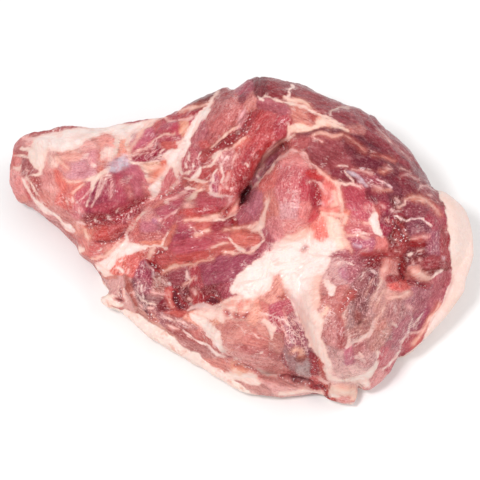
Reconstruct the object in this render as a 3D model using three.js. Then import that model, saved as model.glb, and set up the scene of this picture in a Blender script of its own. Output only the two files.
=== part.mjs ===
// A raw boneless pork butt, boned side up and rind down, as one solid in millimetres.
// +X runs to the round end, +Y to the far side and +Z up. The origin is under the middle, on the table.
//
// The joint is laid out as it is seen from 60 degrees above the table, on the near side: a is the distance
// to the right of the middle of that view, b the distance up it, and every place also has a height.
// The upper sheet spans the outline seen that way. From the outline a wall rolls under to a flat underside.
import * as THREE from "three";

const VIEW_ELEVATION = THREE.MathUtils.degToRad(60);
const EYE_DISTANCE = 1400;
const VIEW_HEIGHT = 50; // the middle of the view is this high over the table
const HUB = { a: 5, b: 0, height: 44 }; // the sheet is spun out from here

const GRID_CELLS = 56; // across the upper sheet
const GATHER = 1.35; // rings of the sheet crowd towards the outline by this power
const WALL_STRIPS = 5;
const EDGE_ROUNDING = 22; // width over which the top rounds over to the outline
const FOOT_SHARE = 0.86; // the underside is this much of the outline, about the foot's middle
const ROLL_SHARE = 0.12; // the wall stands out this much further before it rolls under
const ROLL_DROP = 0.24; // share of its height that the wall first falls out of sight
const FOOT_SMOOTHING = 0.05; // share of the outline that the foot is averaged over, each way
const FOOT_MIDDLE = new THREE.Vector3(5, 5, 0);

// The outline, clockwise from the arm's end: a, b and height over the table.
const ARM_END = [
  [-162, 44, 24], [-160, 58, 28], [-153, 72, 34], [-137, 77, 40], [-121, 80, 45], [-95, 79, 48],
  [-68, 85, 54], [-53, 86, 58],
];
const FAR_SIDE = [
  [-37, 95, 62], [-20, 103, 66], [-10, 107, 68], [-4, 106, 68], [7, 113, 71], [17, 115, 72],
  [40, 109.5, 74], [62, 100.5, 74], [83, 92, 72], [101, 79.5, 69], [121, 60, 64],
];
const RIND_BULGE = [
  [134, 38, 58], [146, 30.5, 54], [156, 21, 50], [161, 8, 47], [162.5, -10, 44], [157, -28, 40],
  [155, -37, 37], [140, -57, 30], [120, -77, 24],
];
const KNOB_END = [
  [113, -79, 22], [104, -93, 18], [96, -101, 16], [88, -105, 14], [83, -102, 14], [79, -114, 9],
  [64, -112.5, 9], [56, -108, 10],
];
const SKIN_EDGE = [
  [38, -108.5, 11], [24, -110, 11], [2, -105, 12], [-17, -94, 13], [-38, -81, 14], [-62, -67, 15],
  [-82, -50, 16], [-91, -47, 16], [-97, -41, 16], [-92, -35, 18], [-97, -26, 19], [-103, -15, 20],
];
const ARM_UNDERSIDE = [
  [-112, -9, 20], [-116, -1, 20], [-128, 10, 19], [-147, 23, 19], [-155, 27, 19], [-160, 36, 21],
];
const OUTLINE = [...ARM_END, ...FAR_SIDE, ...RIND_BULGE, ...KNOB_END, ...SKIN_EDGE, ...ARM_UNDERSIDE];
const OUTLINE_STEPS = 24; // between two points of the outline

// The large masses: centre, half lengths, turn in degrees and how far each rises over the outline's sheet.
const MASSES = {
  ball: { at: [40, 34], half: [38, 44], turn: 15, rise: 50 },
  rightMass: { at: [88, 24], half: [76, 82], turn: 0, rise: 46 },
  knob: { at: [82, -44], half: [46, 66], turn: -10, rise: 50 },
  upperMuscles: { at: [-10, 76], half: [54, 46], turn: 12, rise: 32 },
  farCrest: { at: [62, 78], half: [84, 44], turn: -25, rise: 36 },
  arm: { at: [-102, 46], half: [66, 44], turn: 8, rise: 24 },
  middleStrips: { at: [-22, 14], half: [60, 27], turn: 12, rise: 22 },
  lowerLobe: { at: [6, -69], half: [33, 27], turn: -14, rise: 31 },
  fatSlope: { at: [20, -20], half: [60, 44], turn: 30, rise: 29 },
  armLedge: { at: [-97, 4], half: [20, 14], turn: 10, rise: 17 },
  wedge: { at: [33, -64], half: [16, 34], turn: 20, rise: 29 },
};
const MASS_STEEPNESS = 0.6; // half an ellipsoid would be 0.5
const MASS_BLEND = 4; // millimetres over which two masses run together

// The muscles that stand out of the masses.
const MUSCLES = {
  ball: { at: [38, 33], half: [23, 34], turn: -8, rise: 9 },
  redBand: { at: [16, 66], half: [36, 11], turn: 54, rise: 7 },
  upper: { at: [-17, 80], half: [24, 13], turn: 60, rise: 5 },
  upperCrest: { at: [-3, 92], half: [16, 10], turn: 50, rise: 4 },
  belowGroove: { at: [-7, 70], half: [19, 5], turn: 35, rise: 3 },
  fan: { at: [-57, 76], half: [22, 8], turn: 35, rise: 4 },
  fanLower: { at: [-62, 62], half: [18, 5], turn: 32, rise: 3 },
  armMiddle: { at: [-87, 37], half: [24, 17], turn: -20, rise: 5 },
  armEnd: { at: [-118, 50], half: [20, 13], turn: 20, rise: 3 },
  stripUpper: { at: [-22, 26], half: [27, 9], turn: 8, rise: 5 },
  stripLeft: { at: [-63, 15], half: [24, 9], turn: 30, rise: 5 },
  stripMain: { at: [-33, -9], half: [31, 9], turn: 10, rise: 7 },
  stripDark: { at: [2, 17], half: [20, 7], turn: 40, rise: 4 },
  stripSmall: { at: [-2, 2], half: [22, 6], turn: -4, rise: 4 },
  deep: { at: [-12, -20], half: [30, 9], turn: 28, rise: 4 },
  lowerLobe: { at: [6, -73], half: [26, 17], turn: -18, rise: 8 },
  marbledWedge: { at: [38, -68], half: [9, 27], turn: 27, rise: 3 },
  gland: { at: [-6, -49], half: [10, 5], turn: 0, rise: 3 },
  shoulder: { at: [84, 10], half: [14, 22], turn: 20, rise: 4 },
  rindSide: { at: [124, 4], half: [19, 18], turn: 0, rise: 4 },
  rindSideUpper: { at: [122, 24], half: [15, 8], turn: -15, rise: 3 },
  crest: { at: [75, 58], half: [42, 13], turn: -26, rise: 4 },
  knobLeft: { at: [70, -68], half: [13, 20], turn: 0, rise: 3 },
  knobEnd: { at: [80, -84], half: [18, 10], turn: 10, rise: 3 },
  knobRight: { at: [108, -52], half: [12, 32], turn: -25, rise: 4 },
};
const MUSCLE_STEEPNESS = 0.55;

// Seams, cuts and the hole that the bone left: route, half width and depth.
const CREASES = {
  boneCrevice: { route: [[33, 66], [22, 57], [14, 47], [8, 36], [2, 26], [-8, 19]], width: 4.5, depth: 20 },
  whiteSeam: { route: [[-17, 98], [-30, 80], [-39, 62], [-41, 46]], width: 5, depth: 3.5 },
  upperGroove: { route: [[14, 92], [6, 82], [0, 75], [-24, 59]], width: 4.5, depth: 5 },
  armCut: { route: [[-108, 10], [-94, 12], [-80, 19], [-63, 30]], width: 5, depth: 8 },
  ledgeCut: { route: [[-102, -4], [-88, 0], [-76, 10]], width: 4.5, depth: 5 },
  darkPocket: { route: [[-60, -20], [-44, -38], [-18, -40]], width: 8, depth: 8 },
  socket: { route: [[88, -15], [100, -12], [111, -18], [116, -28]], width: 5, depth: 9 },
  socketEnd: { route: [[116, -28], [130, -30]], width: 4.5, depth: 4 },
  ballCleft: { route: [[54, 46], [57, 32], [53, 18]], width: 5, depth: 6 },
  underLobe: { route: [[-10, -83], [8, -89], [28, -96], [48, -100], [60, -108]], width: 5, depth: 8 },
  knobSide: { route: [[32, -40], [46, -70], [54, -90], [58, -100]], width: 5, depth: 5 },
  rindLine: {
    route: [[137, 35], [144, 22], [146, 5], [147, -18], [145, -36], [134, -53], [127, -66]],
    width: 4, depth: 3,
  },
  skinLine: { route: [[-88, -40], [-72, -53], [-50, -66], [-30, -80], [-10, -92]], width: 4.5, depth: 2.5 },
};

const LEAN_COLOR = 0xa8484f;

// The place in space of a point of the view that has this height: a nearer point is drawn larger.
function inSpace(a, b, height) {
  const depth =
    (height - VIEW_HEIGHT - b * Math.cos(VIEW_ELEVATION)) /
    (Math.sin(VIEW_ELEVATION) - (b * Math.cos(VIEW_ELEVATION)) / EYE_DISTANCE);
  const nearer = 1 - depth / EYE_DISTANCE;
  const up = b * nearer * Math.sin(VIEW_ELEVATION) - depth * Math.cos(VIEW_ELEVATION);
  return new THREE.Vector3(a * nearer, up, height);
}

// How far a point lies from the middle of an ellipse, squared: 1 is its edge.
function ellipseShare(a, b, { at, half, turn }) {
  const angle = THREE.MathUtils.degToRad(turn);
  const da = a - at[0];
  const db = b - at[1];
  const along = (da * Math.cos(angle) + db * Math.sin(angle)) / half[0];
  const across = (db * Math.cos(angle) - da * Math.sin(angle)) / half[1];
  return along * along + across * across;
}

function distanceToSegment(a, b, from, to) {
  const da = to[0] - from[0];
  const db = to[1] - from[1];
  const along = ((a - from[0]) * da + (b - from[1]) * db) / (da * da + db * db);
  const share = Math.min(Math.max(along, 0), 1);
  return Math.hypot(a - from[0] - share * da, b - from[1] - share * db);
}

function distanceToRoute(a, b, route) {
  let nearest = Infinity;
  for (let i = 1; i < route.length; i++)
    nearest = Math.min(nearest, distanceToSegment(a, b, route[i - 1], route[i]));
  return nearest;
}

function dome(share, rise, steepness) {
  return rise * Math.max(1 - share, 0) ** steepness;
}

// How far the top stands over the outline's sheet: masses run together, muscles on them, creases cut in.
function relief(a, b) {
  let sum = 0;
  for (const mass of Object.values(MASSES))
    sum += Math.exp(dome(ellipseShare(a, b, mass), mass.rise, MASS_STEEPNESS) / MASS_BLEND);
  const level = MASS_BLEND * Math.log(sum);
  const lowest = MASS_BLEND * Math.log(Object.keys(MASSES).length);
  let height = level - lowest * Math.exp(-level / (2 * MASS_BLEND));
  for (const muscle of Object.values(MUSCLES))
    height += dome(ellipseShare(a, b, muscle), muscle.rise, MUSCLE_STEEPNESS);
  for (const { route, width, depth } of Object.values(CREASES))
    height -= depth * Math.exp(-((distanceToRoute(a, b, route) / width) ** 2));
  return height;
}

// The outline as a smooth closed curve, with its angle and reach from the hub, in the order of the angles.
function smoothOutline() {
  const corners = OUTLINE.map(([a, b, height]) => new THREE.Vector3(a, b, height));
  const curve = new THREE.CatmullRomCurve3(corners, true, "catmullrom", 0.5);
  const points = curve.getPoints(OUTLINE_STEPS * OUTLINE.length).slice(0, -1);
  const rays = points.map((p) => ({
    angle: Math.atan2(p.y - HUB.b, p.x - HUB.a),
    reach: Math.hypot(p.x - HUB.a, p.y - HUB.b),
    height: p.z,
  }));
  rays.sort((one, other) => one.angle - other.angle);
  const first = { ...rays[0], angle: rays[0].angle + 2 * Math.PI };
  const last = { ...rays.at(-1), angle: rays.at(-1).angle - 2 * Math.PI };
  return { loop: [...points, points[0]].map((p) => [p.x, p.y]), rays: [last, ...rays, first] };
}

function outlineAt(rays, angle) {
  const next = Math.max(1, rays.findIndex((ray) => ray.angle >= angle));
  const [before, after] = [rays[next - 1], rays[next]];
  const share = (angle - before.angle) / (after.angle - before.angle || 1);
  return {
    reach: THREE.MathUtils.lerp(before.reach, after.reach, share),
    height: THREE.MathUtils.lerp(before.height, after.height, share),
  };
}

// A square grid laid on a disc in rings: cell (i, j) of the square has this radius and angle.
function discPlace(i, j) {
  const u = (2 * i) / GRID_CELLS - 1;
  const v = (2 * j) / GRID_CELLS - 1;
  const ring = Math.max(Math.abs(u), Math.abs(v));
  let angle = 0;
  if (ring > 0 && Math.abs(u) >= Math.abs(v)) angle = (u > 0 ? 0 : Math.PI) + (Math.PI / 4) * (v / u);
  else if (ring > 0) angle = (v > 0 ? Math.PI / 2 : -Math.PI / 2) - (Math.PI / 4) * (u / v);
  return { radius: 1 - (1 - ring) ** GATHER, angle: Math.atan2(Math.sin(angle), Math.cos(angle)) };
}

function upperSheetPoint(outline, i, j) {
  const { radius, angle } = discPlace(i, j);
  const edge = outlineAt(outline.rays, angle);
  const a = HUB.a + radius * edge.reach * Math.cos(angle);
  const b = HUB.b + radius * edge.reach * Math.sin(angle);
  const sheet = HUB.height + (edge.height - HUB.height) * radius * radius;
  const inside = radius < 1 ? distanceToRoute(a, b, outline.loop) : 0;
  const rounding = Math.sqrt(1 - (1 - Math.min(inside / EDGE_ROUNDING, 1)) ** 2);
  return inSpace(a, b, sheet + rounding * relief(a, b));
}

// The outline averaged along its length, so that the foot has no corners.
function averagedRing(ring) {
  const span = Math.round(ring.length * FOOT_SMOOTHING);
  return ring.map((_, i) => {
    const sum = new THREE.Vector3();
    for (let k = -span; k <= span; k++) sum.add(ring[(i + k + ring.length) % ring.length]);
    return sum.divideScalar(2 * span + 1);
  });
}

// From each point of the outline a curve falls away from the eye, bellies out and rolls under to the foot.
function wallCurves(ring) {
  const awayFromEye = new THREE.Vector3(0, Math.cos(VIEW_ELEVATION), -Math.sin(VIEW_ELEVATION));
  const onTable = (point, share) => {
    const spread = point.clone().sub(FOOT_MIDDLE).multiplyScalar(share).add(FOOT_MIDDLE);
    return spread.setZ(0);
  };
  const averaged = averagedRing(ring);
  return ring.map((point, i) => {
    const fall = (ROLL_DROP * point.z) / Math.sin(VIEW_ELEVATION);
    return new THREE.CubicBezierCurve3(
      point,
      point.clone().addScaledVector(awayFromEye, fall),
      onTable(averaged[i], FOOT_SHARE + ROLL_SHARE),
      onTable(averaged[i], FOOT_SHARE),
    );
  });
}

// The whole surface: the upper sheet, the wall in strips, and the underside as a fan round its middle.
function buttGeometry() {
  const outline = smoothOutline();
  const points = [];
  const faces = [];
  const side = GRID_CELLS + 1;
  for (let j = 0; j < side; j++)
    for (let i = 0; i < side; i++) points.push(upperSheetPoint(outline, i, j));
  const addCell = (p, q, r, s) => {
    const alongPR = points[p].distanceTo(points[r]) < points[q].distanceTo(points[s]);
    faces.push(...(alongPR ? [[p, q, r], [p, r, s]] : [[p, q, s], [q, r, s]]));
  };
  for (let j = 0; j < GRID_CELLS; j++)
    for (let i = 0; i < GRID_CELLS; i++) {
      const corner = j * side + i;
      addCell(corner, corner + 1, corner + side + 1, corner + side);
    }

  const rim = [];
  for (let k = 0; k < GRID_CELLS; k++) rim.push(k);
  for (let k = 0; k < GRID_CELLS; k++) rim.push(k * side + GRID_CELLS);
  for (let k = GRID_CELLS; k > 0; k--) rim.push(GRID_CELLS * side + k);
  for (let k = GRID_CELLS; k > 0; k--) rim.push(k * side);

  const curves = wallCurves(rim.map((index) => points[index]));
  let upper = rim;
  for (let strip = 1; strip <= WALL_STRIPS; strip++) {
    const lower = curves.map((curve) => points.push(curve.getPoint(strip / WALL_STRIPS)) - 1);
    upper.forEach((index, k) => {
      const next = (k + 1) % upper.length;
      addCell(index, lower[k], lower[next], upper[next]);
    });
    upper = lower;
  }
  const middle = points.push(FOOT_MIDDLE.clone()) - 1;
  upper.forEach((index, k) => faces.push([index, middle, upper[(k + 1) % upper.length]]));

  const geometry = new THREE.BufferGeometry().setFromPoints(points);
  geometry.setIndex(faces.flat());
  geometry.computeBoundingBox();
  const centre = geometry.boundingBox.getCenter(new THREE.Vector3());
  geometry.translate(-centre.x, -centre.y, 0);
  geometry.computeVertexNormals();
  return geometry;
}

const lean = new THREE.MeshStandardMaterial({ color: LEAN_COLOR, roughness: 0.4, metalness: 0 });
const butt = new THREE.Mesh(buttGeometry(), lean);
butt.name = "pork_butt";

const group = new THREE.Group();
group.add(butt);

export default group;
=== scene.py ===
import bpy
import numpy as np
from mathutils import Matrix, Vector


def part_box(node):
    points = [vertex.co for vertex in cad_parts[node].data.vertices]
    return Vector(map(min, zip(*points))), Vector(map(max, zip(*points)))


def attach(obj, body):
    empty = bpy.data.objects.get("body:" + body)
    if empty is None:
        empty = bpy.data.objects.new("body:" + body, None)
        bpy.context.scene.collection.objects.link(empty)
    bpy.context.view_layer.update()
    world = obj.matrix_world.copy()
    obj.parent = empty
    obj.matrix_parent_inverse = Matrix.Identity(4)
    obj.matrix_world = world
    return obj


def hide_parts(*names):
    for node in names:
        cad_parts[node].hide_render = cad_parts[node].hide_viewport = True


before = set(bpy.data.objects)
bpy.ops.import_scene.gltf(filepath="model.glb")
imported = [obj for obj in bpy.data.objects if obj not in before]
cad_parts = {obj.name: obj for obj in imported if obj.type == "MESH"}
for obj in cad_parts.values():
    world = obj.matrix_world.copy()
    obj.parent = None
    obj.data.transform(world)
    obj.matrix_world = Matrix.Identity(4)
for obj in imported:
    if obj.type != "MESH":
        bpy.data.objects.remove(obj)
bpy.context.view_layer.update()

# THE JOINT'S FORM
# The boned side of a pork shoulder, laid rind down: soft masses of muscle that have slumped round the hollow
# the bone left. It is laid out in millimetres as it is seen from 60 degrees above: a to the right of the
# middle of that view, b up it, and each corner of the outline has its height over the table as well.
VIEW_ELEVATION = np.radians(60)
EYE_DISTANCE = 1400.0
VIEW_HEIGHT = 50.0
HUB = (5.0, 0.0)
HUB_HEIGHT = 44.0
EDGE_ROUNDING = 22.0
OUTLINE_STEPS = 12
MM = 0.001

ARM_END = [(-162, 44, 24), (-160, 58, 28), (-153, 72, 34), (-137, 77, 40), (-121, 80, 45), (-95, 79, 48),
           (-68, 85, 54), (-53, 86, 58)]
FAR_SIDE = [(-37, 95, 62), (-20, 103, 66), (-10, 107, 68), (-4, 106, 68), (7, 113, 71), (17, 115, 72),
            (40, 109.5, 74), (62, 100.5, 74), (83, 92, 72), (101, 79.5, 69), (121, 60, 64)]
RIND_BULGE = [(134, 38, 58), (146, 30.5, 54), (156, 21, 50), (161, 8, 47), (162.5, -10, 44), (157, -28, 40),
              (155, -37, 37), (140, -57, 30), (120, -77, 24)]
KNOB_END = [(113, -79, 22), (104, -93, 18), (96, -101, 16), (88, -105, 14), (83, -102, 14), (79, -114, 9),
            (64, -112.5, 9), (56, -108, 10)]
SKIN_EDGE = [(38, -108.5, 11), (24, -110, 11), (2, -105, 12), (-17, -94, 13), (-38, -81, 14), (-62, -67, 15),
             (-82, -50, 16), (-91, -47, 16), (-97, -41, 16), (-92, -35, 18), (-97, -26, 19), (-103, -15, 20)]
ARM_UNDERSIDE = [(-112, -9, 20), (-116, -1, 20), (-128, 10, 19), (-147, 23, 19), (-155, 27, 19),
                 (-160, 36, 21)]

# middle a and b, half lengths along and across, turn in degrees, rise
MASSES = {
    "ball": (40, 34, 38, 44, 15, 50),
    "right mass": (88, 24, 76, 82, 0, 46),
    "knob": (82, -44, 46, 66, -10, 50),
    "upper muscles": (-10, 76, 54, 46, 12, 32),
    "far crest": (62, 78, 84, 44, -25, 36),
    "arm": (-102, 46, 66, 44, 8, 24),
    "middle strips": (-22, 14, 60, 27, 12, 22),
    "lower lobe": (6, -69, 33, 27, -14, 31),
    "fat slope": (20, -20, 60, 44, 30, 29),
    "arm ledge": (-97, 4, 20, 14, 10, 17),
    "wedge": (33, -64, 16, 34, 20, 29),
}
MASS_BLEND = 4.0
MASS_DOME = 0.6
MUSCLES = {
    "ball": (38, 33, 23, 34, -8, 9),
    "red band": (16, 66, 36, 11, 54, 7),
    "upper": (-17, 80, 24, 13, 60, 5),
    "upper crest": (-3, 92, 16, 10, 50, 4),
    "below the groove": (-7, 70, 19, 5, 35, 3),
    "fan": (-57, 76, 22, 8, 35, 4),
    "lower fan": (-62, 62, 18, 5, 32, 3),
    "middle of the arm": (-87, 37, 24, 17, -20, 5),
    "end of the arm": (-118, 50, 20, 13, 20, 3),
    "upper strip": (-22, 26, 27, 9, 8, 5),
    "left strip": (-63, 15, 24, 9, 30, 5),
    "main strip": (-33, -9, 31, 9, 10, 7),
    "dark strip": (2, 17, 20, 7, 40, 4),
    "small strip": (-2, 2, 22, 6, -4, 4),
    "deep muscle": (-12, -20, 30, 9, 28, 4),
    "lower lobe": (6, -73, 26, 17, -18, 8),
    "marbled wedge": (38, -68, 9, 27, 27, 3),
    "gland": (-6, -49, 10, 5, 0, 2),
    "lobule, far left": (-11.5, -41.5, 3.4, 3, 20, 2),
    "lobule, left": (-7.5, -47.5, 3.6, 3, 0, 2.4),
    "lobule, far": (-6.5, -41, 2.8, 2.8, 0, 1.8),
    "lobule, middle": (-2, -43, 3, 2.8, 0, 2),
    "lobule, near": (-2, -49, 3.2, 3, 0, 2.2),
    "lobule, right": (4, -47.5, 3.6, 3, -10, 2.2),
    "lobule, far right": (4, -41, 3.4, 2.6, 0, 1.8),
    "lobule, end": (10, -44, 3, 2.6, 0, 1.6),
    "shoulder": (84, 10, 14, 22, 20, 4),
    "beside the rind": (124, 4, 19, 18, 0, 4),
    "beside the rind, upper": (122, 24, 15, 8, -15, 3),
    "crest": (75, 58, 42, 13, -26, 4),
    "left of the knob": (70, -68, 13, 20, 0, 3),
    "end of the knob": (80, -84, 18, 10, 10, 3),
    "right of the knob": (108, -52, 12, 32, -25, 4),
}
MUSCLE_DOME = 0.9
# half width, depth, route
CREASES = {
    "bone's hollow": (4, 15, [(30, 63.5), (22, 57), (14, 47), (8, 36), (4, 30)]),
    "end of the bone's hollow": (3, 4, [(4, 30), (-2, 24), (-9, 19)]),
    "white seam": (5, 3.5, [(-17, 98), (-30, 80), (-39, 62), (-41, 46)]),
    "upper groove": (3.5, 5.5, [(14, 92), (6, 82), (0, 75), (-24, 59)]),
    "cut of the arm": (5, 6, [(-108, 11), (-96, 13), (-84, 17), (-74, 23), (-63, 29)]),
    "cut of the ledge": (3.5, 5.5, [(-102, -4), (-88, 0), (-76, 10)]),
    "dark pocket": (8, 8, [(-60, -20), (-44, -38), (-18, -40)]),
    "socket": (4.5, 9, [(88, -15), (100, -12), (111, -18), (116, -28)]),
    "end of the socket": (3.5, 4.5, [(116, -28), (130, -30)]),
    "cleft by the ball": (6, 5, [(54, 46), (57, 32), (53, 18)]),
    "under the lobe": (4, 9, [(-10, -83), (8, -89), (28, -96), (48, -100), (60, -108)]),
    "side of the knob": (5, 5, [(32, -40), (46, -70), (54, -90), (58, -100)]),
    "rind's edge": (3.5, 3, [(137, 35), (144, 22), (146, 5), (147, -18), (145, -36), (134, -53),
                             (127, -66)]),
    "skin's edge": (4, 2.5, [(-88, -40), (-72, -53), (-50, -66), (-30, -80), (-10, -92)]),
}
FAR_OUTSIDE = -60.0
NEARLY_NOTHING = 1e-9


def closed_curve(corners, steps):
    """Catmull-Rom curve through a closed ring of corners: each span is a cubic whose slope at a corner is
    half the chord between that corner's neighbours."""
    before, start, end, after = (np.roll(corners, k, axis=0)[:, None] for k in (1, 0, -1, -2))
    t = np.linspace(0, 1, steps, endpoint=False)[None, :, None]
    curve = start + 0.5 * ((end - before) * t + (2 * before - 5 * start + 4 * end - after) * t**2
                           + (3 * start - before - 3 * end + after) * t**3)
    return curve.reshape(-1, corners.shape[1])


def stroke_depth(a, b, stroke):
    """How far each place lies inside a stroke: the stroke's half width at the nearest point of its route,
    less the distance to that point. It is negative outside."""
    depth = np.full(a.shape, FAR_OUTSIDE)
    for (a0, b0, w0), (a1, b1, w1) in zip(stroke, stroke[1:] or stroke):
        da, db = a1 - a0, b1 - b0
        share = np.clip(((a - a0) * da + (b - b0) * db) / max(da * da + db * db, NEARLY_NOTHING), 0, 1)
        distance = np.hypot(a - a0 - share * da, b - b0 - share * db)
        depth = np.maximum(depth, w0 + share * (w1 - w0) - distance)
    return depth


def route_distance(a, b, route):
    """Distance to the nearest point of a route: the depth in a stroke of no width, turned positive."""
    return -stroke_depth(a, b, [(x, y, 0.0) for x, y in route])


def ellipse_share(a, b, at_a, at_b, half_along, half_across, turn):
    """Squared distance from an ellipse's middle, in units in which its edge is 1."""
    cos, sin = np.cos(np.radians(turn)), np.sin(np.radians(turn))
    along = ((a - at_a) * cos + (b - at_b) * sin) / half_along
    across = ((b - at_b) * cos - (a - at_a) * sin) / half_across
    return along * along + across * across


def masses_and_creases(a, b):
    """Rise over the outline's sheet. The masses are domes of rise x (1 - share)^MASS_DOME, run together by a
    smooth maximum. The muscles' domes, of exponent MUSCLE_DOME, are added, and a Gaussian groove is taken
    away along each crease."""
    domes = [rise * np.maximum(1 - ellipse_share(a, b, *oval), 0) ** MASS_DOME
             for *oval, rise in MASSES.values()]
    level = MASS_BLEND * np.log(sum(np.exp(dome / MASS_BLEND) for dome in domes))
    level = level - MASS_BLEND * np.log(len(domes)) * np.exp(-level / (2 * MASS_BLEND))
    for *oval, rise in MUSCLES.values():
        level = level + rise * np.maximum(1 - ellipse_share(a, b, *oval), 0) ** MUSCLE_DOME
    for half_width, depth, route in CREASES.values():
        level = level - depth * np.exp(-((route_distance(a, b, route) / half_width) ** 2))
    return level


def in_space(a, b, height):
    """Place in space of a point of the view that has this height: the ray from the eye through (a, b) is
    followed to that height, so a nearer point is drawn larger."""
    cos, sin = np.cos(VIEW_ELEVATION), np.sin(VIEW_ELEVATION)
    depth = (height - VIEW_HEIGHT - b * cos) / (sin - b * cos / EYE_DISTANCE)
    nearer = 1 - depth / EYE_DISTANCE
    return np.stack([a * nearer, b * nearer * sin - depth * cos, height], axis=-1)


outline_corners = ARM_END + FAR_SIDE + RIND_BULGE + KNOB_END + SKIN_EDGE + ARM_UNDERSIDE
outline = closed_curve(np.array(outline_corners, float), OUTLINE_STEPS)
outline_loop = [tuple(p) for p in np.vstack([outline, outline[:1]])[:, :2]]
outline_angle = np.arctan2(outline[:, 1] - HUB[1], outline[:, 0] - HUB[0])
outline_reach = np.hypot(outline[:, 0] - HUB[0], outline[:, 1] - HUB[1])

# The boned side is a square grid laid on a disc in rings and spun out from the hub to the outline. The rings
# are gathered toward the outline, where the sheet turns down: spread = 1 - (1 - ring)^GATHER.
SHEET_CELLS = 244
GATHER = 1.2
side = SHEET_CELLS + 1
u, v = np.meshgrid(np.linspace(-1, 1, side), np.linspace(-1, 1, side))
ring = np.maximum(np.abs(u), np.abs(v))
wide = np.abs(u) >= np.abs(v)
turn = np.where(wide, np.pi / 4 * v / np.where(wide, np.where(u == 0, 1, u), 1),
                np.pi / 2 - np.pi / 4 * u / np.where(wide, 1, v))
turn = turn + np.pi * np.where(wide, u < 0, v < 0)
spread = 1 - (1 - ring) ** GATHER
reach = np.interp(turn, outline_angle, outline_reach, period=2 * np.pi)
edge_height = np.interp(turn, outline_angle, outline[:, 2], period=2 * np.pi)
sheet_a = (HUB[0] + spread * reach * np.cos(turn)).ravel()
sheet_b = (HUB[1] + spread * reach * np.sin(turn)).ravel()
spread, edge_height = spread.ravel(), edge_height.ravel()
inside = np.where(spread < 1, route_distance(sheet_a, sheet_b, outline_loop), 0)
rounding = np.sqrt(1 - (1 - np.minimum(inside / EDGE_ROUNDING, 1)) ** 2)
height = (HUB_HEIGHT + (edge_height - HUB_HEIGHT) * spread**2
          + rounding * masses_and_creases(sheet_a, sheet_b))
sheet = in_space(sheet_a, sheet_b, height)

# THE SIDES AND THE UNDERSIDE
# From the outline the meat falls away from the eye, bellies out and rolls under to the flat patch that it
# rests on. Lean shows down to the rind's edge, and the rind wraps the rest.
WALL_STRIPS = 26
UNDERSIDE_RINGS = 10
FOOT_SHARE = 0.86
ROLL_SHARE = 0.12
ROLL_DROP = 0.24
FOOT_SMOOTHING = 0.05
FOOT_MIDDLE = np.array([5.0, 5.0, 0.0])

steps = np.arange(SHEET_CELLS)
last_row = SHEET_CELLS * side
rim = np.concatenate([steps, steps * side + SHEET_CELLS, last_row + SHEET_CELLS - steps,
                      (SHEET_CELLS - steps) * side])
rim_points = sheet[rim]
window = int(round(len(rim) * FOOT_SMOOTHING))
averaged = np.mean([np.roll(rim_points, k, axis=0) for k in range(-window, window + 1)], axis=0)
away_from_eye = np.array([0, np.cos(VIEW_ELEVATION), -np.sin(VIEW_ELEVATION)])
fall = (ROLL_DROP / np.sin(VIEW_ELEVATION) * rim_points[:, 2])[:, None] * away_from_eye
flat = averaged - FOOT_MIDDLE
flat[:, 2] = 0
foot = FOOT_MIDDLE + FOOT_SHARE * flat
roll = FOOT_MIDDLE + (FOOT_SHARE + ROLL_SHARE) * flat


def wall_strip(t):
    """Cubic Bezier from the outline, first straight away from the eye, to the foot, which it meets along the
    table."""
    return ((1 - t) ** 3 * rim_points + 3 * (1 - t) ** 2 * t * (rim_points + fall)
            + 3 * (1 - t) * t**2 * roll + t**3 * foot)


strips = [wall_strip(k / WALL_STRIPS) for k in range(1, WALL_STRIPS + 1)]
rings = [FOOT_MIDDLE + (1 - k / (UNDERSIDE_RINGS + 1)) * (foot - FOOT_MIDDLE)
         for k in range(1, UNDERSIDE_RINGS + 1)]
wall = np.array(strips + rings)
stretch = np.linalg.norm(np.diff(np.concatenate([rim_points[None], wall]), axis=0), axis=-1)
down = np.cumsum(stretch, axis=0)
points = np.vstack([sheet, wall.reshape(-1, 3), FOOT_MIDDLE])

# The drawing goes on past the outline: a place on the wall is drawn WALL_SPREAD x as far out as it is down,
# and the middle of the underside beyond everything else.
WALL_SPREAD = 0.75
UNDERSIDE_MIDDLE_B = -300.0
UNDERSIDE_MIDDLE_DOWN = 200.0
rim_a, rim_b = sheet_a[rim], sheet_b[rim]
rim_reach = np.hypot(rim_a - HUB[0], rim_b - HUB[1])
out_a, out_b = (rim_a - HUB[0]) / rim_reach, (rim_b - HUB[1]) / rim_reach
a = np.concatenate([sheet_a, (rim_a + out_a * WALL_SPREAD * down).ravel(), [HUB[0]]])
b = np.concatenate([sheet_b, (rim_b + out_b * WALL_SPREAD * down).ravel(), [UNDERSIDE_MIDDLE_B]])
down = np.concatenate([np.zeros(len(sheet)), down.ravel(), [UNDERSIDE_MIDDLE_DOWN]])

corner = (steps[:, None] * side + steps).ravel()
cells = np.stack([corner, corner + 1, corner + side + 1, corner + side], axis=-1)
rows = np.vstack([rim, len(sheet) + np.arange(wall.shape[0] * len(rim)).reshape(-1, len(rim))])
skirt = np.stack([rows[:-1], rows[1:], np.roll(rows[1:], -1, axis=1), np.roll(rows[:-1], -1, axis=1)],
                 axis=-1).reshape(-1, 4)
quads = np.vstack([cells, skirt])
middle = len(points) - 1
closing = np.stack([rows[-1], np.full(len(rim), middle), np.roll(rows[-1], -1)], axis=-1)

# The borders between tissues wander: the drawing is bent by two sizes of noise before it is painted.
# how far, size
BENDS = [(1.3, 9.0), (0.6, 3.5)]
PLACE_HASH = np.array([73856093, 19349663, 83492791])
SEED_HASH = 668265263
STIR_HASH = 1274126177
LOW_31_BITS = 0x7FFFFFFF
LOW_16_BITS = 0xFFFF


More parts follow.
